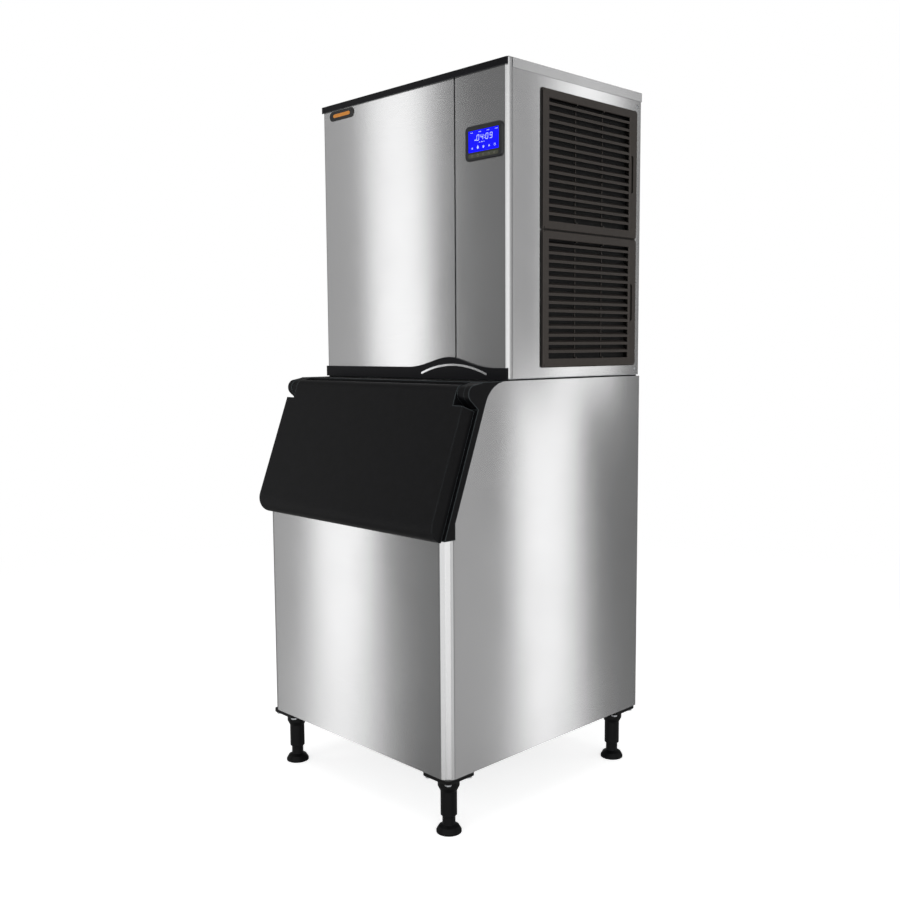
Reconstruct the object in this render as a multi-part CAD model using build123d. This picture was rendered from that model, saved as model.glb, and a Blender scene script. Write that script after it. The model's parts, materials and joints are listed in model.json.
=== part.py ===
from build123d import *
import math
import os

# Modular ice machine: an ice-making head standing on an insulated storage bin.
# While the pieces are made, x runs from the middle to the right, y from the bin's front
# plane to the back and z from the underside of the bin. save() moves every piece into the
# part's own frame, which has its origin on the floor below the middle of the whole machine.

# Storage bin
bin_width = 760.0
bin_depth = 790.0
bin_height = 995.0
steel = 1.5
corner_radius = 30.0
seam_margin = 1.0
base_thickness = 2.0
foam_wall = 45.0
liner_wall = 2.5
rim_thickness = 3.0
top_corner_radius = 80.0
drain_radius = 16.0
drain_flange_radius = 30.0
drain_flange = 3.0
drain_drop = 45.0
drain_bore = 11.0
drain_from_back = 120.0

# Legs and levelling feet
leg_height = 160.0
leg_inset = 50.0
leg_plate = 98.0
leg_plate_thickness = 10.0
leg_plate_corner = 10.0
collar_radius = 28.5
collar_length = 26.0
tube_radius = 21.5
taper_length = 14.0
tube_length = 66.0
tube_chamfer = 2.5
foot_stem_radius = 17.0
foot_stem_engaged = 46.0
foot_shoulder = 22.0
foot_flange_radius = 33.0
foot_flange_edge = 5.0
foot_dome_reach = 2.0
foot_dome_rise = 15.4
foot_stem_chamfer = 1.0
running_clearance = 0.08
bolt_radius = 5.0
bolt_head_flats = 16.0
bolt_head_height = 6.4
bolt_offset = 36.0
bolt_clearance = 0.2

# Door, its frame and its hinge
slope = 20.6
hinge_back = 102.0
hinge_below_top = 29.0
barrel_radius = 22.5
door_gap = 2.0
door_margin = 10.0
door_overhang = 4.0
door_nose_radius = 43.0
door_wall = 4.0
door_edge_round = 2.5
notch_width = 34.0
notch_length = 38.0
notch_gap = 2.0
ear_blend = 5.0
inner_panel_thickness = 3.0
plug_depth = 15.0
plug_margin = 11.0
plug_clearance = 6.0
plug_corner = 10.0
frame_depth = 20.0
frame_lip = 41.0
frame_rail = 49.0
frame_rail_bottom = 51.0
frame_rail_top = 60.0
rail_clearance = 6.0
sliver_cut = 15.0
knuckle_step = 1.5
knuckle_length = 24.0
hinge_pin_radius = 5.0
hinge_pin_in_door = 24.0
hinge_pin_in_frame = 32.0

# Ice-making head
gasket_thickness = 4.0
gasket_width = 26.0
gasket_inset = 4.0
head_inset = 2.0
exhaust_rows = 12
exhaust_columns = 2
exhaust_length = 120.0
exhaust_height = 7.0
exhaust_pitch_x = 140.0
exhaust_pitch_z = 24.0
exhaust_from_right = 190.0
exhaust_below_top = 330.0
exhaust_hood = 6.0
head_depth = 560.0
head_height = 800.0
head_setback = 4.0
sheet = 1.5
head_base_thickness = 2.0
front_edge_radius = 12.0
front_return = 14.0
panel_seam = 1.5
split_right = 187.5
split_gap = 5.0
split_return = 12.0
cover_thickness = 1.5
cover_lip = 2.5
cover_drop = 24.0
post_width = 18.0
post_thickness = 2.0
mullion_width = 54.0
mullion_depth = 22.0

# Trims, badge and display
trim_proud = 4.0
top_trim_height = 18.0
bottom_trim_height = 30.0
bottom_trim_drop = 1.0
hump_half_width = 168.5
hump_rise = 28.0
hump_from_split = 25.0
arc_from_hump = 18.0
arc_half_span = 125.0
arc_rise = 24.0
arc_width = 5.5
arc_above_base = 12.0
arc_proud = 1.5
badge_length = 114.0
badge_height = 28.0
badge_thickness = 1.6
badge_from_left = 93.0
badge_gap = 2.0
display_width = 132.0
display_height = 88.0
display_corner = 12.0
display_proud = 5.0
display_from_right = 82.0
display_below_top = 195.0
screen_width = 107.0
screen_height = 54.0
screen_raise = 4.0
screen_depth = 2.5
screen_thickness = 1.5
screen_gap = 0.3
display_boss_margin = 10.0

# Air grilles on the right side
grille_from_front = 127.0
grille_from_back = 24.0
grille_above_base = 29.0
grille_height = 356.5
grille_gap = 3.0
grille_flange = 1.5
grille_tube_depth = 24.0
grille_tube_wall = 2.0
grille_tube_margin_front = 20.0
grille_tube_margin_back = 26.0
grille_tube_margin_z = 18.0
filter_ledge = 6.0
filter_thickness = 8.0
filter_gap = 0.5
louvre_thickness = 5.0
louvre_corner = 8.0
louvre_standoff = 0.5
louvre_edge_bevel = 2.5
louvre_inner_bevel = 2.0
louvre_border_front = 24.0
louvre_border_back = 36.0
louvre_border_z = 22.0
slat_count = 14
slat_lip = 6.5
slat_thickness = 1.8
slat_depth = 9.5
slat_rise = 6.0
rib_width = 3.0
pull_length = 105.0
pull_width = 12.0
pull_depth = 3.5
pull_from_back = 25.0
lug_height = 6.0
lug_gap = 0.6
louvre_pin_radius = 1.5

# Condenser, fans and their shroud
condenser_from_side = 28.0
condenser_depth = 50.0
condenser_from_front = 146.0
condenser_from_back = 56.0
condenser_above_base = 30.0
condenser_below_top = 58.0
end_plate = 2.0
shroud_depth = 30.0
shroud_wall = 2.0
fan_hole_radius = 152.0
fan_ring_depth = 15.0
fan_tip_gap = 5.0
fan_hub_radius = 28.0
fan_hub_length = 26.0
blade_count = 5
blade_chord = 88.0
blade_thickness = 2.0
blade_pitch = 28.0
blade_root = 16.8
fan_shaft_radius = 4.0
motor_radius = 42.0
motor_length = 50.0
motor_gap = 14.0
strap_height = 24.0
strap_thickness = 5.0
strap_leg = 12.0
strap_leg_offset = 166.0

# Refrigeration
compressor_x = 92.0
compressor_from_back = 146.0
compressor_radius = 82.0
compressor_height = 205.0
dome_height = 37.0
dome_shoulder = 11.0
dome_shoulder_drop = 15.0
dome_crown_radius = 45.0
compressor_foot = 180.0
compressor_foot_thickness = 4.0
grommet_height = 14.0
grommet_radius = 12.0
stub_radius = 9.0
stub_rise = 20.0
discharge_right = 24.6
discharge_rear = 49.2
suction_left = 32.8
suction_rear = 41.0
small_tube_radius = 5.0
large_tube_radius = 8.0
bend_radius = 24.0
tube_hole_gap = 3.0
coil_stub_reach = 8.0
plate_stub_reach = 12.0
small_bend_radius = 14.4
drier_radius = 22.0
drier_length = 140.0
drier_cone = 13.2
drier_above_base = 200.0
drier_right = 38.4

# Wet side: evaporator, curtain, trough, pump and float valve
partition_left = 8.0
plate_side_room = 49.25
evaporator_height = 410.0
evaporator_depth = 25.0
evaporator_from_front = 199.0
evaporator_above_base = 190.0
evaporator_columns = 9
evaporator_rows = 13
liquid_below_top = 123.0
liquid_from_right = 60.0
suction_above_bottom = 143.5
suction_from_right = 30.0
cell_wall = 4.0
cell_depth = 17.0
cheek_gap = 8.0
cheek_thickness = 6.0
cheek_reach = 40.0
cheek_over = 50.0
mount_bar_height = 40.0
mount_bar_thickness = 6.0
curtain_thickness = 3.0
curtain_gap = 2.0
curtain_pivot_radius = 6.0
curtain_pin_radius = 4.0
curtain_forward = 31.0
curtain_over = 30.0
curtain_under = 60.0
curtain_lip_reach = 18.0
curtain_lip_drop = 25.0
trough_height = 89.0
trough_depth = 158.0
trough_wall = 3.0
trough_back_of_curtain = 8.0
drop_from_front = 44.0
drop_margin = 4.0
distributor_bar = 12.0
distributor_radius = 12.0
distributor_sunk = 4.8
pump_from_left = 108.0
pump_from_trough_back = 50.0
pump_volute_radius = 30.0
pump_volute_height = 34.0
pump_column_radius = 12.0
pump_motor_radius = 35.0
pump_motor_height = 70.0
pump_height = 190.0
hose_radius = 8.0
hose_offset = 70.0
valve_side_wall = 4.0
valve_depth = 30.0
valve_height = 42.0
valve_above_trough = 10.0
float_pin_radius = 3.0
float_side_gap = 3.0
float_hub_radius = 7.0
float_hub_length = 8.0
float_arm_reach = 95.0
float_arm_fall = 42.0
float_arm_thickness = 4.0
float_radius = 15.0
float_length = 30.0

# Controls and connections at the back
control_box_width = 130.0
control_box_depth = 56.0
control_box_height = 220.0
fitting_reach = 25.0
inlet_radius = 13.0
outlet_radius = 12.0
gland_radius = 14.0
fitting_flange = 4.0
fitting_bore = 8.0
supply_tube_radius = 5.0
drain_tube_radius = 8.0
fitting_collar = 2.6
fitting_mouth = 6.4
gland_right = 206.0
gland_above_base = 102.0
screw_radius = 4.5
screw_height = 2.0
screw_inset = 16.0

# Share of a thickness that a full round or a soft edge takes
full_round = 0.9
soft_edge = 0.4

# Places worked out from the sizes
sin_slope = math.sin(math.radians(slope))
cos_slope = math.cos(math.radians(slope))
half_bin = bin_width / 2
side_seam = corner_radius + seam_margin
hinge_z = bin_height - hinge_below_top
edge_line = -(barrel_radius + door_gap + frame_depth)
frame_line = -(barrel_radius + door_gap)


def from_hinge(along, out):
    """Side-view point (y, z) that lies along the sloping door and out from it."""
    y = hinge_back - along * sin_slope - out * cos_slope
    z = hinge_z - along * cos_slope + out * sin_slope
    return (y, z)


def along_at_y(y, out):
    """Distance along the door at which the line with this offset reaches y."""
    return (hinge_back - out * cos_slope - y) / sin_slope


def along_at_z(z, out):
    """Distance along the door at which the line with this offset reaches z."""
    return (hinge_z + out * sin_slope - z) / cos_slope


seam_z = from_hinge(along_at_y(side_seam, edge_line), edge_line)[1]
frame_bottom = seam_z - frame_lip
door_length = along_at_z(frame_bottom - door_overhang, -barrel_radius)
rail_front = hinge_back + barrel_radius + rail_clearance
half_mouth = half_bin - frame_rail
mouth_bottom = frame_bottom + frame_rail_bottom
mouth_top = bin_height - frame_rail_top - liner_wall
half_door = half_bin - door_margin
notch_x = half_door - notch_width

nose_radius = min(door_nose_radius, 2 * barrel_radius - door_gap)
nose_centre = from_hinge(door_length - nose_radius, barrel_radius - nose_radius)
door_front = nose_centre[0] - nose_radius

head_back = bin_depth - head_setback
head_front = head_back - head_depth
head_bottom = bin_height + gasket_thickness
head_floor = head_bottom + head_base_thickness
head_top = head_bottom + head_height
head_ceiling = head_top - cover_thickness
half_head = half_bin - head_inset
half_inside = half_head - sheet
front_inside = head_front + sheet
back_inside = head_back - sheet
side_panel_front = head_front + front_return + panel_seam
split_left_edge = split_right - split_gap / 2
split_right_edge = split_right + split_gap / 2

machine_back = max(bin_depth, head_back + fitting_reach)
shift_y = -(door_front + machine_back) / 2


# Helpers for plain solids
def block(x0, x1, y0, y1, z0, z1):
    """Block between six planes."""
    return Pos((x0 + x1) / 2, (y0 + y1) / 2, (z0 + z1) / 2) * Box(x1 - x0, y1 - y0, z1 - z0)


def rod_x(radius, x0, x1, y, z):
    """Round bar along x."""
    return Pos((x0 + x1) / 2, y, z) * Rot(0, 90, 0) * Cylinder(radius, x1 - x0)


def rod_y(radius, x, y0, y1, z):
    """Round bar along y."""
    return Pos(x, (y0 + y1) / 2, z) * Rot(90, 0, 0) * Cylinder(radius, y1 - y0)


def rod_z(radius, x, y, z0, z1):
    """Round bar along z."""
    return Pos(x, y, (z0 + z1) / 2) * Cylinder(radius, z1 - z0)


def outline(points):
    """Closed face through the points; a third number in a point rounds that corner."""
    face = make_face(Polyline(*[(p[0], p[1]) for p in points], close=True))
    for point in points:
        if len(point) == 3:
            corner = face.vertices().sort_by_distance((point[0], point[1], 0))[0]
            face = fillet(corner, point[2])
    return face


def side_plate(points, x0, x1):
    """Outline in the side view (y, z), given thickness from x0 to x1."""
    return extrude(Plane.YZ.offset(x0) * outline(points), amount=x1 - x0)


def front_plate(face, y0, y1):
    """Face drawn in the front view (x, z), given thickness from y0 back to y1."""
    return extrude(Plane.XZ.offset(-y1) * face, amount=y1 - y0)


def turned(points, x, y):
    """Solid of revolution about an upright axis, from its (radius, z) outline."""
    return Pos(x, y, 0) * revolve(Plane.XZ * outline(points), axis=Axis.Z)


def tube_path(points, radius, section_radius):
    """Round tube along straight runs that tangent arcs join."""
    path = FilletPolyline(*points, radius=radius)
    start = Plane(origin=path @ 0, z_dir=path % 0)
    return sweep(start * Circle(section_radius), path=path)


def joined(pieces):
    """One body from pieces that share faces."""
    whole = pieces[0]
    for piece in pieces[1:]:
        whole = whole + piece
    return whole


def rounded_front(x0, x1, y0, y1, z0, z1, radius):
    """Block whose two upright front edges are rounded."""
    solid = block(x0, x1, y0, y1, z0, z1)
    upright = solid.edges().filter_by(Axis.Z).group_by(Axis.Y)[0]
    return fillet(upright, radius)


def group(pieces):
    """Separate solids kept together as one sub-part."""
    return Compound([piece.solids()[0] for piece in pieces])


def save(name, shape):
    """Move a piece into the part's frame and write it."""
    solids = [Pos(0, shift_y, leg_height) * solid for solid in shape.solids()]
    placed = solids[0] if len(solids) == 1 else Compound(solids)
    export_step(placed, "parts/" + name + ".step")
    print(name, len(solids))


# Bin shell
def steel_side_outline():
    """Side panel outline with the sloping front edge and the large top corner."""
    top_corner = from_hinge(along_at_z(bin_height, edge_line), edge_line)
    return [
        (side_seam, 0),
        (bin_depth, 0),
        (bin_depth, bin_height),
        (top_corner[0], bin_height, top_corner_radius),
        (side_seam, seam_z),
    ]


def foam_outline():
    """Outline that the foam fills, inside the steel and below the rim."""
    foam_top = bin_height - rim_thickness
    top_corner = from_hinge(along_at_z(foam_top, edge_line), edge_line)
    return [
        (steel, base_thickness),
        (bin_depth - steel, base_thickness),
        (bin_depth - steel, foam_top),
        (top_corner[0], foam_top, top_corner_radius),
        (side_seam, seam_z),
        (side_seam, frame_bottom),
        (steel, frame_bottom),
    ]


def foam_body():
    """Solid block of the foam's outer shape, with the rounded front corners."""
    body = side_plate(foam_outline(), -half_bin + steel, half_bin - steel)
    upright = body.edges().filter_by(Axis.Z).group_by(Axis.Y)[0]
    return fillet(upright, corner_radius - steel)


well_front = steel + foam_wall + liner_wall
well_back = bin_depth - steel - foam_wall - liner_wall
well_floor = base_thickness + foam_wall + liner_wall
well_half = half_mouth
throat_front = head_front + gasket_inset + gasket_width + 2 * liner_wall


def well(grow):
    """Space for ice with its sloping mouth and open top, grown on every side."""
    outside = door_front - nose_radius
    points = [
        (well_front - grow, well_floor - grow),
        (well_back + grow, well_floor - grow),
        (well_back + grow, bin_height + rim_thickness),
        (throat_front - grow, bin_height + rim_thickness),
        (throat_front - grow, mouth_top + grow),
        (outside, mouth_top + grow),
        (outside, mouth_bottom - grow),
        (well_front - grow, mouth_bottom - grow),
    ]
    return side_plate(points, -well_half - grow, well_half + grow)


drain_y = bin_depth - drain_from_back


def make_bin_front_panel():
    """Front sheet that wraps both rounded corners."""
    outer = rounded_front(-half_bin, half_bin, 0, side_seam, 0, frame_bottom, corner_radius)
    inner = rounded_front(
        -half_bin + steel, half_bin - steel, steel, side_seam, 0, frame_bottom,
        corner_radius - steel,
    )
    return outer - inner


def make_bin_side_panel(side):
    """Side sheet; side is -1 for left and 1 for right."""
    plate = side_plate(steel_side_outline(), half_bin - steel, half_bin)
    return plate if side > 0 else mirror(plate, about=Plane.YZ)


def make_bin_back_panel():
    """Back sheet between the side sheets."""
    return block(-half_bin + steel, half_bin - steel, bin_depth - steel, bin_depth, 0, bin_height)


def make_bin_base_panel():
    """Floor sheet inside the outer sheets, with the drain hole."""
    plate = rounded_front(
        -half_bin + steel, half_bin - steel, steel, bin_depth - steel, 0, base_thickness,
        corner_radius - steel,
    )
    return plate - rod_z(drain_radius + bolt_clearance, 0, drain_y, 0, base_thickness)


def make_bin_insulation():
    """Foam between the outer sheets and the liner."""
    foam = foam_body() - well(liner_wall)
    return foam - rod_z(drain_radius + bolt_clearance, 0, drain_y, 0, well_floor)


def make_bin_liner():
    """Moulded liner with the rim that the head's gasket sits on."""
    trimmed = (well(liner_wall) - well(0)) & foam_body()
    rim = block(
        -half_bin + steel, half_bin - steel, head_front, bin_depth - steel,
        bin_height - rim_thickness, bin_height,
    )
    body = trimmed + (rim - well(0))
    return body - rod_z(drain_radius + bolt_clearance, 0, drain_y, 0, well_floor)


def make_bin_drain_fitting():
    """Flanged drain spigot through the bin's floor."""
    top = well_floor + drain_flange
    points = [
        (drain_bore, -drain_drop),
        (drain_radius, -drain_drop),
        (drain_radius, well_floor),
        (drain_flange_radius, well_floor),
        (drain_flange_radius, top),
        (drain_bore, top),
    ]
    return turned(points, 0, drain_y)


# Legs and feet
def leg_places():
    """Name and middle of each leg."""
    places = []
    for end, y in (("front", leg_inset), ("rear", bin_depth - leg_inset)):
        for side, x in (("left", -half_bin + leg_inset), ("right", half_bin - leg_inset)):
            places.append((end + "_" + side, x, y))
    return places


leg_end = -(leg_plate_thickness + collar_length + taper_length + tube_length)
bore_top = -(leg_plate_thickness + collar_length)


def bolt_places():
    """Middle of each leg bolt."""
    places = []
    for _, x, y in leg_places():
        for across in (-bolt_offset, bolt_offset):
            for along in (-bolt_offset, bolt_offset):
                places.append((x + across, y + along))
    return places


def make_leg(x, y):
    """Leg with a square top plate, a collar and a bored tube."""
    half = leg_plate / 2
    plate = block(x - half, x + half, y - half, y + half, -leg_plate_thickness, 0)
    plate = fillet(plate.edges().filter_by(Axis.Z), leg_plate_corner)
    plate_under = -leg_plate_thickness
    collar_end = plate_under - collar_length
    tube_start = collar_end - taper_length
    stem = turned([
        (0, plate_under),
        (collar_radius, plate_under),
        (collar_radius, collar_end),
        (tube_radius, tube_start),
        (tube_radius, leg_end + tube_chamfer),
        (tube_radius - tube_chamfer, leg_end),
        (0, leg_end),
    ], x, y)
    leg = plate + stem
    leg = leg - rod_z(foot_stem_radius + running_clearance, x, y, leg_end, bore_top)
    for bolt_x, bolt_y in bolt_places():
        if abs(bolt_x - x) < leg_plate and abs(bolt_y - y) < leg_plate:
            leg = leg - rod_z(bolt_radius + bolt_clearance, bolt_x, bolt_y, -leg_plate_thickness, 0)
    return leg


def make_leg_bolts():
    """Hexagon bolts that hold the leg plates to the bin's floor."""
    bolts = []
    head_top_z = -leg_plate_thickness
    for x, y in bolt_places():
        hexagon = RegularPolygon(bolt_head_flats / 2, 6, major_radius=False)
        head = extrude(Pos(x, y, head_top_z - bolt_head_height) * hexagon, amount=bolt_head_height)
        bolts.append(head + rod_z(bolt_radius, x, y, head_top_z, 0))
    return group(bolts)


def make_foot(x, y):
    """Levelling foot with a domed flange; its stem slides in the leg's bore."""
    floor = -leg_height
    shoulder = floor + foot_shoulder
    middle = (foot_stem_radius + foot_flange_radius) / 2
    stem_top = leg_end + foot_stem_engaged
    return turned([
        (0, floor),
        (foot_flange_radius, floor),
        (foot_flange_radius, floor + foot_flange_edge),
        (middle + foot_dome_reach, floor + foot_dome_rise),
        (foot_stem_radius, shoulder),
        (foot_stem_radius, stem_top - foot_stem_chamfer),
        (foot_stem_radius - foot_stem_chamfer, stem_top),
        (0, stem_top),
    ], x, y)


# Door frame and hinge
def ear(radius, x0, x1):
    """Hinge ear: a round end blended into the frame's top and sloping face."""
    foot_along = notch_length - ear_blend
    foot_out = frame_line
    reach = math.hypot(foot_along, foot_out)
    turn = math.atan2(foot_out, foot_along) + math.acos(radius / reach)
    tangent = from_hinge(radius * math.cos(turn), radius * math.sin(turn))
    web = side_plate([
        (hinge_back, hinge_z + radius),
        (rail_front + rail_clearance, bin_height),
        from_hinge(0, frame_line - frame_depth / 2),
        from_hinge(foot_along, frame_line - frame_depth / 2),
        from_hinge(foot_along, foot_out),
        tangent,
        (hinge_back, hinge_z),
    ], x0, x1)
    return web + rod_x(radius, x0, x1, hinge_back, hinge_z)


def make_door_frame():
    """Moulded frame on the bin's sloping edges, with an ear at each end of the hinge."""
    start = from_hinge(along_at_z(frame_bottom, frame_line), frame_line)
    crest = from_hinge(along_at_y(rail_front, frame_line), frame_line)
    body = side_plate([
        start,
        (head_front, frame_bottom),
        (head_front, bin_height),
        (rail_front, bin_height),
        crest,
    ], -half_bin, half_bin)
    knuckle_end = notch_x + notch_gap + knuckle_length
    right_ear = ear(barrel_radius, knuckle_end, half_bin)
    right_ear = right_ear + ear(barrel_radius - knuckle_step, notch_x + notch_gap, knuckle_end)
    body = body + right_ear + mirror(right_ear, about=Plane.YZ)
    body = body - side_plate(foam_outline(), -half_bin + steel, half_bin - steel)
    side_cut = side_plate(steel_side_outline(), half_bin - steel, half_bin)
    sharp = from_hinge(along_at_z(bin_height, edge_line), edge_line)[0]
    tangent_y = sharp + top_corner_radius * math.tan(math.radians((90 - slope) / 2))
    sliver = block(
        half_bin - steel, half_bin, tangent_y - sliver_cut, bin_depth,
        bin_height - top_corner_radius, bin_height,
    )
    for cut in (side_cut, sliver):
        body = body - cut - mirror(cut, about=Plane.YZ)
    mouth = block(-half_mouth, half_mouth, door_front, head_front, mouth_bottom, mouth_top)
    body = body - mouth
    pin_hole = rod_x(hinge_pin_radius, notch_x, pin_outer, hinge_back, hinge_z)
    return body - pin_hole - mirror(pin_hole, about=Plane.YZ)


pin_outer = notch_x + notch_gap + hinge_pin_in_frame


def make_hinge_pins():
    """Steel pins on which the door swings."""
    inner = notch_x - hinge_pin_in_door
    right = rod_x(hinge_pin_radius, inner, pin_outer, hinge_back, hinge_z)
    left = rod_x(hinge_pin_radius, -pin_outer, -inner, hinge_back, hinge_z)
    return group([left, right])


# Door
def door_outline(inset):
    """Door section in the side view: a round top, flat faces and a large lower nose."""
    out = barrel_radius - inset
    back = -barrel_radius
    length = door_length - inset
    return outline_points([
        (0, back),
        (0, out),
        (length, out, nose_radius - inset),
        (length, back),
    ])


def outline_points(local):
    """Points given along and out from the hinge, turned into the side view."""
    points = []
    for point in local:
        points.append(from_hinge(point[0], point[1]) + tuple(point[2:]))
    return points


def slab(along0, along1, out0, out1, x0, x1):
    """Flat slab in the door's own directions."""
    return side_plate(outline_points([
        (along0, out0),
        (along0, out1),
        (along1, out1),
        (along1, out0),
    ]), x0, x1)


def door_cavity():
    """Hollow behind the door's skin, filled with foam and closed by the inner panel."""
    low = side_plate(outline_points([
        (notch_length + door_wall, -barrel_radius),
        (notch_length + door_wall, barrel_radius - door_wall),
        (door_length - door_wall, barrel_radius - door_wall, nose_radius - door_wall),
        (door_length - door_wall, -barrel_radius),
    ]), -half_door + door_wall, half_door - door_wall)
    high = slab(
        barrel_radius, notch_length + door_wall, -barrel_radius, barrel_radius - door_wall,
        -notch_x + hinge_pin_in_door + door_wall, notch_x - hinge_pin_in_door - door_wall,
    )
    return low + high


def door_side_edges(body):
    """Edges round the door's front and nose, at both sides."""
    edges = []
    for edge in body.edges():
        middle = edge.center()
        out = (middle.Z - hinge_z) * sin_slope - (middle.Y - hinge_back) * cos_slope
        along = (hinge_back - middle.Y) * sin_slope + (hinge_z - middle.Z) * cos_slope
        at_side = half_door - abs(middle.X) < running_clearance
        if at_side and along > running_clearance and out > running_clearance - barrel_radius:
            edges.append(edge)
    return edges


def make_door_shell():
    """Outer moulding of the door with the hinge barrel along its top."""
    body = side_plate(door_outline(0), -half_door, half_door)
    body = fillet(door_side_edges(body), door_edge_round)
    body = body + rod_x(barrel_radius, -half_door, half_door, hinge_back, hinge_z)
    reach = 2 * barrel_radius
    notch = slab(-reach, notch_length, -reach, reach, notch_x, half_door)
    body = body - notch - mirror(notch, about=Plane.YZ)
    body = body - door_cavity()
    bore = rod_x(
        hinge_pin_radius + running_clearance, notch_x - hinge_pin_in_door - notch_gap, notch_x,
        hinge_back, hinge_z,
    )
    return body - bore - mirror(bore, about=Plane.YZ)


def make_door_inner_panel():
    """White inner panel with a raised plug that reaches into the mouth."""
    inner = -barrel_radius + inner_panel_thickness
    plate = door_cavity() & slab(
        0, door_length, -barrel_radius, inner, -half_door, half_door,
    )
    plug_out = -barrel_radius - plug_depth
    plug_start = notch_length + door_wall + plug_clearance
    plug_end = along_at_z(mouth_bottom + plug_clearance, plug_out)
    plug_half = half_mouth - plug_margin
    plug = slab(plug_start, plug_end, plug_out, -barrel_radius, -plug_half, plug_half)
    corners = plug.edges().filter_by(GeomType.LINE).sort_by(SortBy.LENGTH)[:4]
    return plate + fillet(corners, plug_corner)


def make_door_core():
    """Foam core of the door."""
    return door_cavity() & slab(
        0, door_length, -barrel_radius + inner_panel_thickness, barrel_radius,
        -half_door, half_door,
    )


# Head casing
def make_head_gasket():
    """Soft ring between the bin's rim and the head."""
    outer = block(
        -half_head + gasket_inset, half_head - gasket_inset,
        head_front + gasket_inset, head_back - gasket_inset, bin_height, head_bottom,
    )
    inner = block(
        -half_head + gasket_inset + gasket_width, half_head - gasket_inset - gasket_width,
        head_front + gasket_inset + gasket_width, head_back - gasket_inset - gasket_width,
        bin_height, head_bottom,
    )
    return outer - inner


wet_left = -half_inside
wet_right = -partition_left
evaporator_left = wet_left + plate_side_room
evaporator_right = wet_right - plate_side_room
evaporator_front = head_front + evaporator_from_front
evaporator_back = evaporator_front + evaporator_depth
evaporator_bottom = head_floor + evaporator_above_base
evaporator_top = evaporator_bottom + evaporator_height
curtain_y = evaporator_front - curtain_forward
curtain_z = evaporator_top + curtain_over
curtain_left = evaporator_left - cheek_gap + curtain_gap
curtain_right = evaporator_right + cheek_gap - curtain_gap
trough_front = curtain_y + trough_back_of_curtain
trough_back = trough_front + trough_depth
trough_left = evaporator_left - cheek_gap - cheek_thickness
trough_right = evaporator_right + cheek_gap + cheek_thickness
trough_top = head_floor + trough_height


def make_head_base():
    """Floor pan of the head with the opening through which the ice drops."""
    pan = block(-half_head, half_head, head_front, head_back, head_bottom, head_floor)
    drop = block(
        trough_left, trough_right, head_front + drop_from_front, trough_front - drop_margin,
        head_bottom, head_floor,
    )
    return pan - drop


def side_block(side, x0, x1, y0, y1):
    """Upright block of the head's inner height, on the left (-1) or right (1) side."""
    low_x, high_x = sorted((side * x0, side * x1))
    low_y, high_y = sorted((y0, y1))
    return block(low_x, high_x, low_y, high_y, head_floor, head_ceiling)


def make_head_frame():
    """Corner posts and the mullion behind the split in the front."""
    posts = []
    for side in (-1, 1):
        for corner_y, inward in ((side_panel_front, 1), (back_inside, -1)):
            along_front = side_block(
                side, half_inside - post_width, half_inside, corner_y,
                corner_y + inward * post_thickness,
            )
            along_side = side_block(
                side, half_inside - post_thickness, half_inside, corner_y,
                corner_y + inward * post_width,
            )
            posts.append(along_front + along_side)
    mullion_front = head_front + split_return
    mullion = block(
        split_right - mullion_width / 2, split_right + mullion_width / 2,
        mullion_front, mullion_front + mullion_depth, head_floor, head_ceiling,
    )
    mullion = mullion - block(
        split_right - mullion_width / 2 + post_thickness,
        split_right + mullion_width / 2 - post_thickness,
        mullion_front + post_thickness, mullion_front + mullion_depth, head_floor, head_ceiling,
    )
    return group(posts + [mullion])


grille_front = head_front + grille_from_front
grille_back = head_back - grille_from_back
tube_front = grille_front + grille_tube_margin_front
tube_back = grille_back - grille_tube_margin_back


def grille_levels():
    """Name and bottom of each grille."""
    low = head_bottom + grille_above_base
    return (("upper", low + grille_height + grille_gap), ("lower", low))


def make_head_side_panel(side):
    """Side sheet of the head; the right one has the two air openings."""
    panel = block(
        half_inside, half_head, side_panel_front, head_back, head_floor, head_ceiling,
    )
    if side < 0:
        return mirror(panel, about=Plane.YZ)
    for _, low in grille_levels():
        panel = panel - block(
            half_inside, half_head, tube_front, tube_back,
            low + grille_tube_margin_z, low + grille_height - grille_tube_margin_z,
        )
    return panel


supply_x = -half_inside + post_width + tube_hole_gap + supply_tube_radius
supply_z = trough_top + valve_above_trough + valve_height / 2
outlet_x = evaporator_left + outlet_radius * 2
outlet_z = head_floor + fitting_flange + inlet_radius
gland_z = head_floor + gland_above_base


def fitting_places():
    """Place and radius of each connection in the back panel."""
    return (
        (supply_x, supply_z, inlet_radius),
        (outlet_x, outlet_z, outlet_radius),
        (gland_right, gland_z, gland_radius),
    )


def exhaust_places():
    """Middle of each pressed louvre that lets the warm air out."""
    middle_x = half_inside - exhaust_from_right
    middle_z = head_top - exhaust_below_top
    return [
        (
            middle_x + exhaust_pitch_x * (column - (exhaust_columns - 1) / 2),
            middle_z + exhaust_pitch_z * (row - (exhaust_rows - 1) / 2),
        )
        for column in range(exhaust_columns) for row in range(exhaust_rows)
    ]


def make_head_back_panel():
    """Back sheet of the head with pressed louvres and holes for the connections."""
    panel = block(-half_inside, half_inside, back_inside, head_back, head_floor, head_ceiling)
    for x, z, _ in fitting_places():
        panel = panel - rod_y(fitting_bore + bolt_clearance, x, back_inside, head_back, z)
    for x, z in exhaust_places():
        start, end = x - exhaust_length / 2, x + exhaust_length / 2
        top = z + exhaust_height / 2
        panel = panel - block(start, end, back_inside, head_back, z - exhaust_height / 2, top)
        panel = panel + side_plate([
            (back_inside, top),
            (head_back + exhaust_hood, z - exhaust_height / 2),
            (head_back + exhaust_hood, z - exhaust_height / 2 + sheet),
            (head_back, top + sheet),
            (back_inside, top + sheet),
        ], start, end)
    return panel


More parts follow.
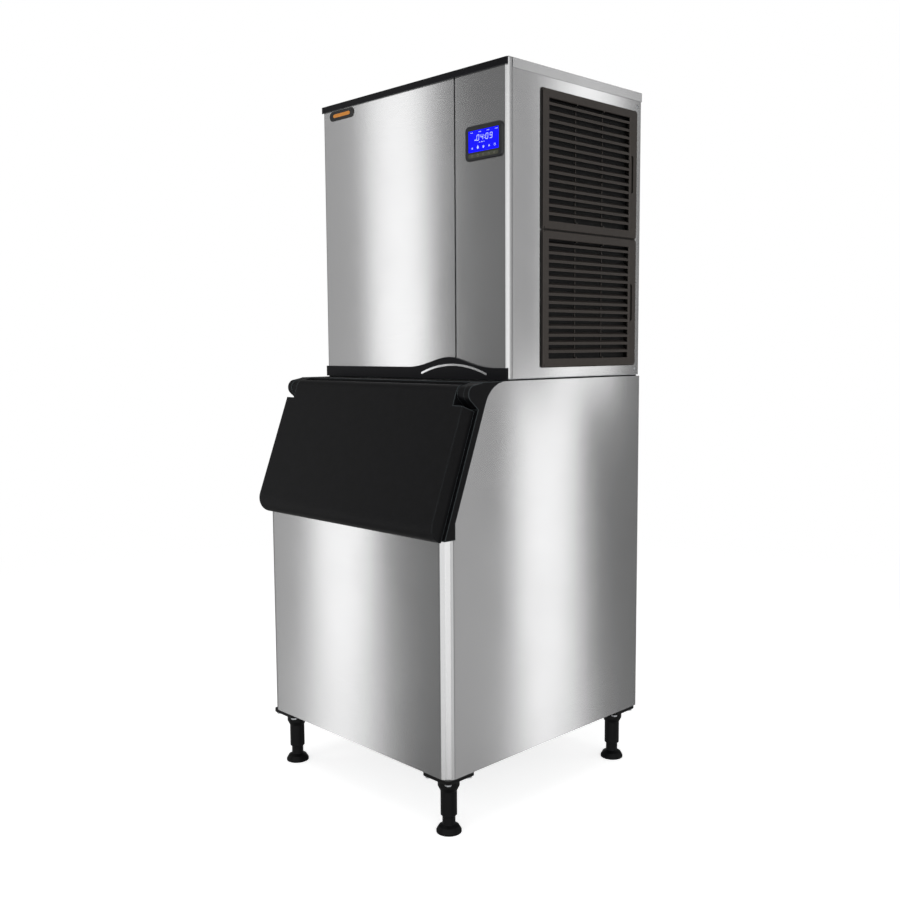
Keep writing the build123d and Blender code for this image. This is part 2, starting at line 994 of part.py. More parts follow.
def make_top_cover():
    """Lid of the head with lips at both sides and the back."""
    lid = block(
        -half_head - cover_lip, half_head + cover_lip, head_front, head_back + cover_lip,
        head_ceiling, head_top,
    )
    lip_bottom = head_top - cover_drop
    side = block(
        half_head, half_head + cover_lip, side_panel_front, head_back + cover_lip,
        lip_bottom, head_ceiling,
    )
    back = block(
        -half_head, half_head, head_back, head_back + cover_lip, lip_bottom, head_ceiling,
    )
    lid = lid + side + mirror(side, about=Plane.YZ) + back
    rear_corners = lid.edges().filter_by(Axis.Z).group_by(Axis.Y)[-1]
    return fillet(rear_corners, cover_lip * full_round)


def front_sheet(edge, split):
    """Front sheet with a rounded outer corner and a folded edge at the split."""
    outer = rounded_front(
        edge, split, head_front, head_front + front_return, head_floor, head_ceiling,
        front_edge_radius,
    )
    inner = rounded_front(
        edge + sheet, split - sheet, front_inside, head_front + front_return,
        head_floor, head_ceiling, front_edge_radius - sheet,
    )
    square = block(
        split - front_edge_radius, split, head_front, head_front + split_return,
        head_floor, head_ceiling,
    )
    square = square - block(
        split - front_edge_radius, split - sheet, front_inside, head_front + split_return,
        head_floor, head_ceiling,
    )
    spare = block(
        split - front_edge_radius, split, head_front, head_front + front_return,
        head_floor, head_ceiling,
    )
    return (outer - inner - spare) + square


def make_front_left_panel():
    """Wide front sheet on the left of the split."""
    return front_sheet(-half_head, split_left_edge)


display_x = half_head - display_from_right
display_z = head_top - display_below_top


def boss_size():
    """Half width and half height of the display's boss."""
    return (display_width / 2 - display_boss_margin, display_height / 2 - display_boss_margin)


def make_front_right_panel():
    """Narrow front sheet on the right, with the display opening."""
    sheet_piece = mirror(front_sheet(-half_head, -split_right_edge), about=Plane.YZ)
    boss_x, boss_z = boss_size()
    return sheet_piece - block(
        display_x - boss_x, display_x + boss_x, head_front, front_inside,
        display_z - boss_z, display_z + boss_z,
    )


# Trims, badge and display
def make_front_top_trim():
    """Black strip along the head's top front edge."""
    strip = block(
        -half_head, half_head, head_front - trim_proud, head_front,
        head_top - top_trim_height, head_top,
    )
    ends = strip.edges().filter_by(Axis.Z).group_by(Axis.Y)[0]
    strip = fillet(ends, trim_proud * full_round)
    crest = strip.edges().group_by(Axis.Z)[-1].filter_by(Axis.X).group_by(Axis.Y)[0]
    return fillet(crest, trim_proud * soft_edge)


trim_low = head_bottom - bottom_trim_drop
trim_high = trim_low + bottom_trim_height
hump_x = split_right - hump_from_split


def make_front_bottom_trim():
    """Black strip along the foot of the head, swelling into an arched hump."""
    left = hump_x - hump_half_width
    right = hump_x + hump_half_width
    edge = Polyline(
        (left, trim_high), (-half_head, trim_high), (-half_head, trim_low),
        (half_head, trim_low), (half_head, trim_high), (right, trim_high),
    )
    hump = Spline(
        (right, trim_high), (hump_x, trim_high + hump_rise), (left, trim_high),
        tangents=((-1, 0), (-1, 0)),
    )
    face = make_face(edge + hump)
    strip = front_plate(face, head_front - trim_proud, head_front)
    ends = strip.edges().filter_by(Axis.Z).group_by(Axis.Y)[0]
    return fillet(ends, trim_proud * full_round)


def arc_face(half_span, rise, centre_x, base_z, width):
    """Curved band of even width, with square ends."""
    radius = (half_span ** 2 + rise ** 2) / (2 * rise)
    turn = math.asin(half_span / radius)
    centre_z = base_z + rise - radius
    ring = Circle(radius + width / 2) - Circle(radius - width / 2)
    far = 2 * radius
    wedge = make_face(Polyline(
        (0, 0), (-far * math.sin(turn), far * math.cos(turn)),
        (far * math.sin(turn), far * math.cos(turn)), close=True,
    ))
    return Pos(centre_x, centre_z) * (ring & wedge)


def make_trim_arc():
    """Bright arched strip on the hump."""
    arc_x = hump_x + arc_from_hump
    band = arc_face(arc_half_span, arc_rise, arc_x, head_bottom + arc_above_base, arc_width)
    plate_back = head_front - trim_proud
    return front_plate(band, plate_back - arc_proud, plate_back)


def make_badge_plate():
    """Blank badge plate near the top left corner."""
    centre_x = -half_head + badge_from_left
    centre_z = head_top - top_trim_height - badge_gap - badge_height / 2
    face = Pos(centre_x, centre_z) * SlotOverall(badge_length, badge_height)
    plate = front_plate(face, head_front - badge_thickness, head_front)
    rim = plate.edges().group_by(Axis.Y)[0]
    return chamfer(rim, badge_thickness * soft_edge)


def make_display_bezel():
    """Display housing: a rounded front plate with a window and a boss behind it."""
    front = head_front - display_proud
    plate = front_plate(
        Pos(display_x, display_z) * RectangleRounded(display_width, display_height, display_corner),
        front, head_front,
    )
    rim = plate.edges().group_by(Axis.Y)[0]
    plate = chamfer(rim, display_proud * soft_edge)
    boss_x, boss_z = boss_size()
    boss = block(
        display_x - boss_x, display_x + boss_x, head_front, box_front,
        display_z - boss_z, display_z + boss_z,
    )
    window = screen_block(screen_gap, front, front + screen_depth)
    return plate + boss - window


def screen_block(gap, y0, y1):
    """Block of the screen's outline, grown by a gap."""
    half_x = screen_width / 2 + gap
    middle_z = display_z + screen_raise
    half_z = screen_height / 2 + gap
    return block(
        display_x - half_x, display_x + half_x, y0, y1, middle_z - half_z, middle_z + half_z,
    )


def make_display_screen():
    """Screen seated in the bezel's window."""
    seat = head_front - display_proud + screen_depth
    return screen_block(0, seat - screen_thickness, seat)


# Air grilles, louvre doors and filters
def make_grille_frame(low):
    """Fixed frame of two stiles and two rails; the front stile has the louvre door's lugs."""
    high = low + grille_height
    plate_x = half_head + grille_flange
    flange_low = low - grille_gap / 2
    flange_high = high + grille_gap / 2
    flange = block(half_head, plate_x, grille_front, grille_back, flange_low, flange_high)
    tube_low = low + grille_tube_margin_z
    tube_high = high - grille_tube_margin_z
    inner_x = half_head - grille_tube_depth
    tube = block(inner_x, half_head, tube_front, tube_back, tube_low, tube_high)
    body = flange + tube
    wall = grille_tube_wall
    body = body - block(
        inner_x + wall, plate_x, tube_front + wall, tube_back - wall,
        tube_low + wall, tube_high - wall,
    )
    front_joint = tube_front + wall
    back_joint = tube_back - wall
    ledge = wall + filter_ledge
    body = body - block(
        inner_x, inner_x + wall, front_joint, back_joint, tube_low + ledge, tube_high - ledge,
    )
    pivot_x = louvre_pivot_x()
    pivot_y = louvre_pivot_y()
    radius = louvre_thickness / 2
    for z0, z1 in ((low, low + lug_height), (high - lug_height, high)):
        lug = block(plate_x, pivot_x, pivot_y - radius, pivot_y + radius, z0, z1)
        lug = lug + rod_z(radius, pivot_x, pivot_y, z0, z1)
        body = body + lug - rod_z(louvre_pin_radius + running_clearance, pivot_x, pivot_y, z0, z1)
    middle_z = (low + high) / 2
    areas = (
        (grille_front, front_joint, flange_low, flange_high),
        (back_joint, grille_back, flange_low, flange_high),
        (front_joint, back_joint, flange_low, middle_z),
        (front_joint, back_joint, middle_z, flange_high),
    )
    reach = pivot_x + radius
    return group([body & block(inner_x, reach, *area) for area in areas])


def louvre_pivot_x():
    """Distance of the louvre hinge from the middle."""
    return half_head + grille_flange + louvre_standoff + louvre_thickness / 2


def louvre_pivot_y():
    """Place of the louvre hinge from front to back."""
    return grille_front + louvre_thickness / 2


def make_louvre_door(low):
    """Louvred door: a bordered panel with angled slats, two ribs and a finger slot."""
    high = low + grille_height
    inner_x = half_head + grille_flange + louvre_standoff
    outer_x = inner_x + louvre_thickness
    pivot_x = louvre_pivot_x()
    pivot_y = louvre_pivot_y()
    radius = louvre_thickness / 2
    panel = block(inner_x, outer_x, pivot_y, grille_back, low, high)
    rear_edges = panel.edges().filter_by(Axis.X).group_by(Axis.Y)[-1]
    panel = fillet(rear_edges, louvre_corner)
    rim = panel.faces().sort_by(Axis.X)[-1].edges().sort_by(Axis.Y)[1:]
    panel = chamfer(rim, louvre_edge_bevel)
    panel = panel + rod_z(radius, pivot_x, pivot_y, low, high)
    corner = lug_height + lug_gap
    clear_y = pivot_y + radius + lug_gap
    for z0, z1 in ((low, low + corner), (high - corner, high)):
        panel = panel - block(inner_x, outer_x, grille_front, clear_y, z0, z1)
    open_front = grille_front + louvre_border_front
    open_back = grille_back - louvre_border_back
    open_low = low + louvre_border_z
    open_high = high - louvre_border_z
    panel = panel - block(inner_x, outer_x, open_front, open_back, open_low, open_high)
    bevel = louvre_inner_bevel
    window = Plane.YZ.offset(outer_x) * Pos(
        (open_front + open_back) / 2, (open_low + open_high) / 2,
    )
    wide = window * Rectangle(open_back - open_front + 2 * bevel, open_high - open_low + 2 * bevel)
    panel = panel - extrude(wide, amount=-bevel, taper=45)
    pitch = (open_high - open_low) / (slat_count + 0.5)
    slat_outer = outer_x - bevel
    slat_inner = slat_outer - slat_depth
    for number in range(slat_count):
        top = open_low + pitch * (number + 1)
        profile = [
            (slat_outer, top),
            (slat_outer, top - slat_lip),
            (slat_outer - slat_thickness, top - slat_lip),
            (slat_outer - slat_thickness, top - slat_thickness),
            (slat_inner, top + slat_rise - slat_thickness),
            (slat_inner, top + slat_rise),
            (slat_outer - slat_thickness, top),
        ]
        panel = panel + front_plate(outline(profile), open_front, open_back)
    for share in (1 / 3, 2 / 3):
        middle = open_front + (open_back - open_front) * share
        panel = panel + block(
            slat_inner, slat_inner + rib_width, middle - rib_width / 2, middle + rib_width / 2,
            open_low, open_high,
        )
        for z0, z1 in ((open_low, open_low + rib_width), (open_high - rib_width, open_high)):
            panel = panel + block(
                slat_inner, slat_outer, middle - rib_width / 2,
                middle + rib_width / 2, z0, z1,
            )
    pull_y = grille_back - pull_from_back
    middle_z = (low + high) / 2
    slot = Pos(outer_x - pull_depth, pull_y, middle_z) * Rot(0, 90, 0) * extrude(
        SlotOverall(pull_length, pull_width), amount=pull_depth,
    )
    panel = panel - slot
    for z0, z1 in ((low, low + corner), (high - corner, high)):
        panel = panel + rod_z(louvre_pin_radius, pivot_x, pivot_y, z0, z1)
    return panel


def make_air_filters():
    """Washable filters held in the grille frames."""
    pads = []
    wall = grille_tube_wall
    for _, low in grille_levels():
        x0 = half_head - grille_tube_depth + wall
        pads.append(block(
            x0, x0 + filter_thickness, tube_front + wall + filter_gap, tube_back - wall - filter_gap,
            low + grille_tube_margin_z + wall + filter_gap,
            low + grille_height - grille_tube_margin_z - wall - filter_gap,
        ))
    return group(pads)


# Condenser, shroud and fans
condenser_outer = half_head - condenser_from_side
condenser_inner = condenser_outer - condenser_depth
condenser_front = head_front + condenser_from_front
condenser_back = head_back - condenser_from_back
condenser_low = head_floor + condenser_above_base
condenser_high = head_top - condenser_below_top
shroud_face = condenser_inner - shroud_depth
fan_y = (condenser_front + condenser_back) / 2


def fan_levels():
    """Name and height of each fan axis."""
    quarter = (condenser_high - condenser_low) / 4
    return (("upper", condenser_low + 3 * quarter), ("lower", condenser_low + quarter))


def make_condenser():
    """Finned coil block between two end plates that stand on the floor pan."""
    coil = block(
        condenser_inner, condenser_outer, condenser_front, condenser_back,
        condenser_low, condenser_high,
    )
    plates = []
    for y0, y1 in (
        (condenser_front - end_plate, condenser_front),
        (condenser_back, condenser_back + end_plate),
    ):
        plates.append(block(
            condenser_inner, condenser_outer, y0, y1, head_floor, condenser_high + end_plate,
        ))
    body = joined([coil] + plates)
    start = condenser_back + end_plate
    for z in (coil_in_z, coil_out_z):
        body = body + rod_y(small_tube_radius, coil_x, start, start + coil_stub_reach, z)
    return body


coil_x = (condenser_inner + condenser_outer) / 2
coil_in_z = condenser_high - condenser_above_base
coil_out_z = condenser_low + condenser_above_base


def make_fan_shroud():
    """Air duct behind the coil with a ring for each fan."""
    box = block(
        shroud_face, condenser_inner, condenser_front, condenser_back,
        condenser_low, condenser_high,
    )
    box = box - block(
        shroud_face + shroud_wall, condenser_inner, condenser_front + shroud_wall,
        condenser_back - shroud_wall, condenser_low + shroud_wall, condenser_high - shroud_wall,
    )
    for _, z in fan_levels():
        ring_start = shroud_face - fan_ring_depth
        box = box + rod_x(
            fan_hole_radius + shroud_wall, ring_start, shroud_face + shroud_wall, fan_y, z,
        )
        box = box - rod_x(
            fan_hole_radius, ring_start, shroud_face + shroud_wall, fan_y, z,
        )
    return box


hub_end = shroud_face + fan_hub_length / 2
hub_start = shroud_face - fan_hub_length / 2
motor_end = hub_start - motor_gap
motor_start = motor_end - motor_length


def make_fan(z):
    """Axial fan: a hub and pitched blades with round tips."""
    tip = fan_hole_radius - fan_tip_gap
    blades = []
    reach = blade_chord
    rim = rod_x(tip, shroud_face - reach, shroud_face + reach, fan_y, z)
    for number in range(blade_count):
        blade = Pos(0, 0, tip / 2) * Rot(0, 0, 90 - blade_pitch) * Box(
            blade_chord, blade_thickness, tip + blade_chord,
        )
        blade = blade & block(-reach, reach, -reach, reach, blade_root, tip * 2)
        turned_blade = Rot(360 / blade_count * number, 0, 0) * blade
        blades.append(Pos(shroud_face, fan_y, z) * turned_blade & rim)
    hub = rod_x(fan_hub_radius, hub_start, hub_end, fan_y, z)
    body = joined([hub] + blades)
    return body - rod_x(
        fan_shaft_radius + running_clearance, shroud_face - reach, shroud_face + reach, fan_y, z,
    )


def make_fan_motors():
    """Two motors, each with its shaft and the strap that holds it to the shroud."""
    motors = []
    for _, z in fan_levels():
        can = rod_x(motor_radius, motor_start, motor_end, fan_y, z)
        shaft = rod_x(fan_shaft_radius, motor_end, hub_end, fan_y, z)
        strap = block(
            motor_end - strap_thickness, motor_end,
            fan_y - strap_leg_offset - strap_leg / 2, fan_y + strap_leg_offset + strap_leg / 2,
            z - strap_height / 2, z + strap_height / 2,
        )
        body = can + shaft + strap
        for side in (-1, 1):
            middle = fan_y + side * strap_leg_offset
            body = body + block(
                motor_end - strap_thickness, shroud_face, middle - strap_leg / 2,
                middle + strap_leg / 2, z - strap_height / 2, z + strap_height / 2,
            )
        motors.append(body)
    return group(motors)


# Refrigeration circuit
compressor_y = head_back - compressor_from_back
compressor_low = head_floor + grommet_height
compressor_top = compressor_low + compressor_height
stub_top = compressor_top + stub_rise
discharge_at = (compressor_x + discharge_right, compressor_y + discharge_rear)
suction_at = (compressor_x - suction_left, compressor_y + suction_rear)
rear_run_y = back_inside - large_tube_radius - tube_hole_gap * 2
drier_x = drier_right
drier_y = back_inside - drier_radius - tube_hole_gap
drier_low = head_floor + drier_above_base
drier_high = drier_low + drier_length
liquid_z = evaporator_top - liquid_below_top
suction_z = evaporator_bottom + suction_above_bottom
liquid_x = evaporator_right - liquid_from_right
suction_x = evaporator_right - suction_from_right
tube_start_y = evaporator_back + plate_stub_reach


def make_compressor():
    """Hermetic compressor can on a foot plate with soft mounts."""
    can = turned([
        (0, compressor_low),
        (compressor_radius, compressor_low),
        (compressor_radius, compressor_top - dome_height),
        (compressor_radius - dome_shoulder, compressor_top - dome_shoulder_drop),
        (dome_crown_radius, compressor_top),
        (0, compressor_top),
    ], compressor_x, compressor_y)
    half = compressor_foot / 2 - compressor_foot_thickness
    foot = block(
        compressor_x - half, compressor_x + half, compressor_y - half, compressor_y + half,
        compressor_low, compressor_low + compressor_foot_thickness,
    )
    body = can + foot
    for x in (compressor_x - half + grommet_radius, compressor_x + half - grommet_radius):
        for y in (compressor_y - half + grommet_radius, compressor_y + half - grommet_radius):
            body = body + rod_z(grommet_radius, x, y, head_floor, compressor_low)
    for x, y in (discharge_at, suction_at):
        body = body + rod_z(stub_radius, x, y, compressor_top - dome_height, stub_top)
    return body


def make_filter_drier():
    """Small vessel in the liquid line."""
    neck = small_tube_radius + tube_hole_gap / 2
    return turned([
        (0, drier_low),
        (neck, drier_low),
        (drier_radius, drier_low + drier_cone),
        (drier_radius, drier_high - drier_cone),
        (neck, drier_high),
        (0, drier_high),
    ], drier_x, drier_y)


def make_refrigerant_lines():
    """Copper lines from the compressor round to the evaporator and back."""
    coil_face = condenser_back + end_plate + coil_stub_reach
    bend = bend_radius
    turn_y = rear_run_y
    discharge = tube_path([
        (discharge_at[0], discharge_at[1], stub_top),
        (discharge_at[0], discharge_at[1], coil_in_z),
        (discharge_at[0], turn_y, coil_in_z),
        (coil_x, turn_y, coil_in_z),
        (coil_x, coil_face, coil_in_z),
    ], small_bend_radius, small_tube_radius)
    liquid_in = tube_path([
        (coil_x, coil_face, coil_out_z),
        (coil_x, drier_y, coil_out_z),
        (drier_x, drier_y, coil_out_z),
        (drier_x, drier_y, drier_low),
    ], small_bend_radius, small_tube_radius)
    liquid_out = tube_path([
        (drier_x, drier_y, drier_high),
        (drier_x, drier_y, liquid_z),
        (liquid_x, drier_y, liquid_z),
        (liquid_x, tube_start_y, liquid_z),
    ], bend, small_tube_radius)
    suction = tube_path([
        (suction_x, tube_start_y, suction_z),
        (suction_x, suction_at[1], suction_z),
        (suction_at[0], suction_at[1], suction_z),
        (suction_at[0], suction_at[1], stub_top),
    ], bend, large_tube_radius)
    return group([discharge, liquid_in, liquid_out, suction])


# Partition and wet side
def make_partition_panel():
    """Wall between the machine side and the wet side, with holes for the two lines."""
    wall = block(
        wet_right, wet_right + sheet, front_inside, back_inside, head_floor, head_ceiling,
    )
    gap = tube_hole_gap
    for y, z, radius in (
        (drier_y, liquid_z, small_tube_radius), (suction_at[1], suction_z, large_tube_radius),
    ):
        wall = wall - rod_x(radius + gap, wet_right, wet_right + sheet, y, z)
    return wall


def make_evaporator():
    """Upright ice plate: a shallow tray divided into cells that face the curtain."""
    body = block(
        evaporator_left, evaporator_right, evaporator_front, evaporator_back,
        evaporator_bottom, evaporator_top,
    )
    pitch_x = (evaporator_right - evaporator_left - cell_wall) / evaporator_columns
    pitch_z = (evaporator_height - cell_wall) / evaporator_rows
    cell = Rectangle(pitch_x - cell_wall, pitch_z - cell_wall)
    cells = Sketch()
    for column in range(evaporator_columns):
        for row in range(evaporator_rows):
            x = evaporator_left + cell_wall / 2 + pitch_x * (column + 0.5)
            z = evaporator_bottom + cell_wall / 2 + pitch_z * (row + 0.5)
            cells = cells + Pos(x, z) * cell
    body = body - front_plate(cells, evaporator_front, evaporator_front + cell_depth)
    for x, z, radius in (
        (liquid_x, liquid_z, small_tube_radius), (suction_x, suction_z, large_tube_radius),
    ):
        body = body + rod_y(radius, x, evaporator_back, tube_start_y, z)
    return body


def make_evaporator_frame():
    """Cheeks that carry the curtain's pins, and bars that reach both walls."""
    cheek_front = evaporator_front - cheek_reach
    bar_back = evaporator_back + mount_bar_thickness
    inner = cheek_gap
    outer = cheek_gap + cheek_thickness
    spans = (
        (evaporator_left - outer, evaporator_left - inner),
        (evaporator_right + inner, evaporator_right + outer),
    )
    pieces = []
    for x0, x1 in spans:
        pieces.append(block(
            x0, x1, cheek_front, bar_back, evaporator_bottom, evaporator_top + cheek_over,
        ))
    for z0 in (evaporator_bottom, evaporator_top - mount_bar_height):
        pieces.append(block(
            wet_left, wet_right, evaporator_back, bar_back, z0, z0 + mount_bar_height,
        ))
    body = joined(pieces)
    return body - rod_x(
        curtain_pin_radius + running_clearance, trough_left, trough_right, curtain_y, curtain_z,
    )


def make_water_distributor():
    """Tube on top of the ice plate that wets it, with its hose inlet."""
    middle_y = (evaporator_front + evaporator_back) / 2
    bar = block(
        evaporator_left, evaporator_right, evaporator_front, evaporator_back,
        evaporator_top, evaporator_top + distributor_bar,
    )
    tube = rod_x(distributor_radius, evaporator_left, evaporator_right, middle_y, distributor_z)
    inlet = rod_y(hose_radius, hose_x, middle_y, hose_end_y, distributor_z)
    return bar + tube + inlet


pump_x = wet_left + pump_from_left
pump_y = trough_back - pump_from_trough_back
hose_x = pump_x + hose_offset
hose_end_y = evaporator_back + plate_stub_reach
distributor_z = evaporator_top + distributor_bar + distributor_radius - distributor_sunk
pump_floor = head_floor + trough_wall
outlet_stub_z = pump_floor + pump_volute_height / 2


def make_water_curtain():
    """Hinged sheet in front of the ice plate, with a lip that leads water to the trough."""
    half = curtain_thickness / 2
    bottom = evaporator_bottom - curtain_under
    sheet_body = side_plate([
        (curtain_y - half, curtain_z),
        (curtain_y - half, bottom),
        (curtain_y - half + curtain_lip_reach, bottom - curtain_lip_drop),
        (curtain_y + half + curtain_lip_reach, bottom - curtain_lip_drop),
        (curtain_y + half, bottom),
        (curtain_y + half, curtain_z),
    ], curtain_left, curtain_right)
    roll = rod_x(curtain_pivot_radius, curtain_left, curtain_right, curtain_y, curtain_z)
    pin = rod_x(
        curtain_pin_radius, evaporator_left - cheek_gap - cheek_thickness,
        evaporator_right + cheek_gap + cheek_thickness, curtain_y, curtain_z,
    )
    return sheet_body + roll + pin


def make_water_trough():
    """Open trough below the ice plate."""
    body = block(
        trough_left, trough_right, trough_front, trough_back, head_floor, trough_top,
    )
    wall = trough_wall
    return body - block(
        trough_left + wall, trough_right - wall, trough_front + wall, trough_back - wall,
        head_floor + wall, trough_top,
    )


def make_water_pump():
    """Pump with its volute in the trough and its motor above the water."""
    volute_top = pump_floor + pump_volute_height
    motor_low = pump_floor + pump_height - pump_motor_height
    body = turned([
        (0, pump_floor),
        (pump_volute_radius, pump_floor),
        (pump_volute_radius, volute_top),
        (pump_column_radius, volute_top),
        (pump_column_radius, motor_low),
        (pump_motor_radius, motor_low),
        (pump_motor_radius, pump_floor + pump_height),
        (0, pump_floor + pump_height),
    ], pump_x, pump_y)
    return body + rod_x(hose_radius, pump_x, hose_start_x, pump_y, outlet_stub_z)


hose_start_x = pump_x + pump_volute_radius + plate_stub_reach


def make_pump_hose():
    """Hose from the pump up to the distributor."""
    return tube_path([
        (hose_start_x, pump_y, outlet_stub_z),
        (hose_x, pump_y, outlet_stub_z),
        (hose_x, pump_y, distributor_z),
        (hose_x, hose_end_y, distributor_z),
    ], bend_radius, hose_radius)


valve_y = trough_back - valve_depth
float_pivot_z = trough_top + valve_above_trough + float_hub_radius
valve_right = supply_x + supply_tube_radius + valve_side_wall
float_hub_start = trough_left + trough_wall + float_side_gap
float_hub_end = float_hub_start + float_hub_length


def make_float_valve():
    """Inlet valve on the left wall with its supply tube and the arm's pin."""
    low = trough_top + valve_above_trough
    body = block(
        wet_left, valve_right, valve_y - valve_depth / 2, valve_y + valve_depth / 2,
        low, low + valve_height,
    )
    supply = rod_y(supply_tube_radius, supply_x, valve_y, back_inside, supply_z)
    pin = rod_x(
        float_pin_radius, valve_right, float_hub_end, valve_y, float_pivot_z,
    )
    return body + supply + pin


def make_float_arm():
    """Arm and float that close the inlet valve when the trough is full."""
    hub = rod_x(float_hub_radius, float_hub_start, float_hub_end, valve_y, float_pivot_z)
    end_y = valve_y - float_arm_reach
    end_z = float_pivot_z - float_arm_fall
    half = float_arm_thickness / 2
    arm = side_plate([
        (valve_y, float_pivot_z + half),
        (valve_y, float_pivot_z - half),
        (end_y, end_z - half),
        (end_y, end_z + half),
    ], float_hub_start, float_hub_end)
    ball = rod_x(float_radius, float_hub_start, float_hub_start + float_length, end_y, end_z)
    body = hub + arm + ball
    return body - rod_x(
        float_pin_radius + running_clearance, valve_right, float_hub_end, valve_y, float_pivot_z,
    )


# Controls, connections and screws
box_front = side_panel_front + post_thickness
box_right = half_inside - post_thickness - tube_hole_gap


def make_control_box():
    """Box of electric controls behind the display."""
    low = display_z - control_box_height / 2
    body = block(
        box_right - control_box_width, box_right, box_front, box_front + control_box_depth,
        low, low + control_box_height,
    )
    return fillet(body.edges().filter_by(Axis.Z), tube_hole_gap)


def make_rear_fittings():
    """Water inlet, drain outlet with its tube, and the cable gland."""
    pieces = []
    end = head_back + fitting_reach
    for x, z, radius in fitting_places():
        flange_end = head_back + fitting_flange
        body = rod_y(radius, x, flange_end, end, z)
        body = body + rod_y(radius + fitting_collar, x, head_back, flange_end, z)
        body = body + rod_y(fitting_bore, x, back_inside, head_back, z)
        body = body - rod_y(fitting_mouth, x, flange_end + fitting_flange, end, z)
        pieces.append(body)
    outlet = pieces[1] + rod_y(drain_tube_radius, outlet_x, trough_back, back_inside, outlet_z)
    pieces[1] = outlet
    return group(pieces)


def make_panel_screws():
    """Screws that hold the head's side and back sheets."""
    screws = []
    rows = (head_floor + screw_inset, head_top - cover_drop - screw_inset)
    for z in rows:
        for x0, x1 in (
            (half_head, half_head + screw_height), (-half_head - screw_height, -half_head),
        ):
            screws.append(rod_x(screw_radius, x0, x1, head_back - screw_inset, z))
        for x in (-half_inside + screw_inset, half_inside - screw_inset):
            screws.append(rod_y(screw_radius, x, head_back, head_back + screw_height, z))
    return group(screws)


def main():
    """Make and write every piece."""
    os.makedirs("parts", exist_ok=True)
    save("bin_front_panel", make_bin_front_panel())
    save("bin_left_panel", make_bin_side_panel(-1))
    save("bin_right_panel", make_bin_side_panel(1))
    save("bin_back_panel", make_bin_back_panel())
    save("bin_base_panel", make_bin_base_panel())
    save("bin_insulation", make_bin_insulation())
    save("bin_liner", make_bin_liner())
    save("bin_drain_fitting", make_bin_drain_fitting())
    for place, x, y in leg_places():
        save("foot_" + place, make_foot(x, y))
    save("legs", group([make_leg(x, y) for _, x, y in leg_places()]))
    save("leg_bolts", make_leg_bolts())
    save("door_frame", make_door_frame())
    save("hinge_pins", make_hinge_pins())
    save("door_shell", make_door_shell())
    save("door_inner_panel", make_door_inner_panel())
    save("door_core", make_door_core())
    save("head_gasket", make_head_gasket())
    save("head_base", make_head_base())
    save("head_frame", make_head_frame())
    save("head_left_panel", make_head_side_panel(-1))
    save("head_right_panel", make_head_side_panel(1))
    save("head_back_panel", make_head_back_panel())
    save("top_cover", make_top_cover())
    save("front_left_panel", make_front_left_panel())
    save("front_right_panel", make_front_right_panel())
    save("front_top_trim", make_front_top_trim())
    save("front_bottom_trim", make_front_bottom_trim())
    save("trim_arc", make_trim_arc())
    save("badge_plate", make_badge_plate())
    save("display_bezel", make_display_bezel())
    save("display_screen", make_display_screen())
    for level, low in grille_levels():
        save(level + "_grille_frame", make_grille_frame(low))
        save(level + "_louvre_door", make_louvre_door(low))
    save("air_filters", make_air_filters())
    save("condenser", make_condenser())
    save("fan_shroud", make_fan_shroud())
    save("fan_motors", make_fan_motors())
    for level, z in fan_levels():
        save(level + "_fan", make_fan(z))
    save("compressor", make_compressor())
    save("filter_drier", make_filter_drier())
    save("refrigerant_lines", make_refrigerant_lines())
    save("partition_panel", make_partition_panel())
    save("evaporator", make_evaporator())
    save("evaporator_frame", make_evaporator_frame())
    save("water_distributor", make_water_distributor())
    save("water_curtain", make_water_curtain())
    save("water_trough", make_water_trough())
    save("water_pump", make_water_pump())
    save("pump_hose", make_pump_hose())
    save("float_valve", make_float_valve())
    save("float_arm", make_float_arm())
    save("control_box", make_control_box())
    save("rear_fittings", make_rear_fittings())
    save("panel_screws", make_panel_screws())


main()
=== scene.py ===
# %% [markdown]
# # A modular ice machine, dressed for its picture
# The machine is an ice-making head on an insulated bin. Its sheets, mouldings and moving parts
# come from a CAD model as a fixed frame, so this lesson moves none of them. It gives each one
# the finish of the real material, adds the small things that CAD leaves out, and lights it.

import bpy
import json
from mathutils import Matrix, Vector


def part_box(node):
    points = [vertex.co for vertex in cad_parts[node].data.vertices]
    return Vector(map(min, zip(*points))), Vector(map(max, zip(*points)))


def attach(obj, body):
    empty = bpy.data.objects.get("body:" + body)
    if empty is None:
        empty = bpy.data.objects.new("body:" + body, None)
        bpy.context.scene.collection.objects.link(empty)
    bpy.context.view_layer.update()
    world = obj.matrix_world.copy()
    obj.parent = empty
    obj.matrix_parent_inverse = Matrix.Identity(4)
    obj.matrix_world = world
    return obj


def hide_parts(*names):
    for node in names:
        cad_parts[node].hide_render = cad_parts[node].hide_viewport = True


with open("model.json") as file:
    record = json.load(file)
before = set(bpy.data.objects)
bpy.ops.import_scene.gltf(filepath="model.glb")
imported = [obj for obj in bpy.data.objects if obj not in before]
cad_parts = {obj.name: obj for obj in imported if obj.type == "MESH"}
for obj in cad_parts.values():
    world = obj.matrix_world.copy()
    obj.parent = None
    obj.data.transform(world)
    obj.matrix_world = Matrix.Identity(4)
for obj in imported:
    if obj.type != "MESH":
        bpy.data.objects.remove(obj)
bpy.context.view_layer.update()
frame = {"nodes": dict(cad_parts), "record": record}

# %% Modules used below
import json
import math

import bmesh
import bpy
from mathutils import Matrix, Quaternion, Vector

MM = 0.001

# %% [markdown]
# ## Colours and shader nodes
# Colours are easiest to read off a picture as hex codes, which are stored with the sRGB curve.
# Shaders work in linear light, so one function turns every code. A second function adds a node
# to a shader tree together with its settings and its wires, which keeps each finish short.

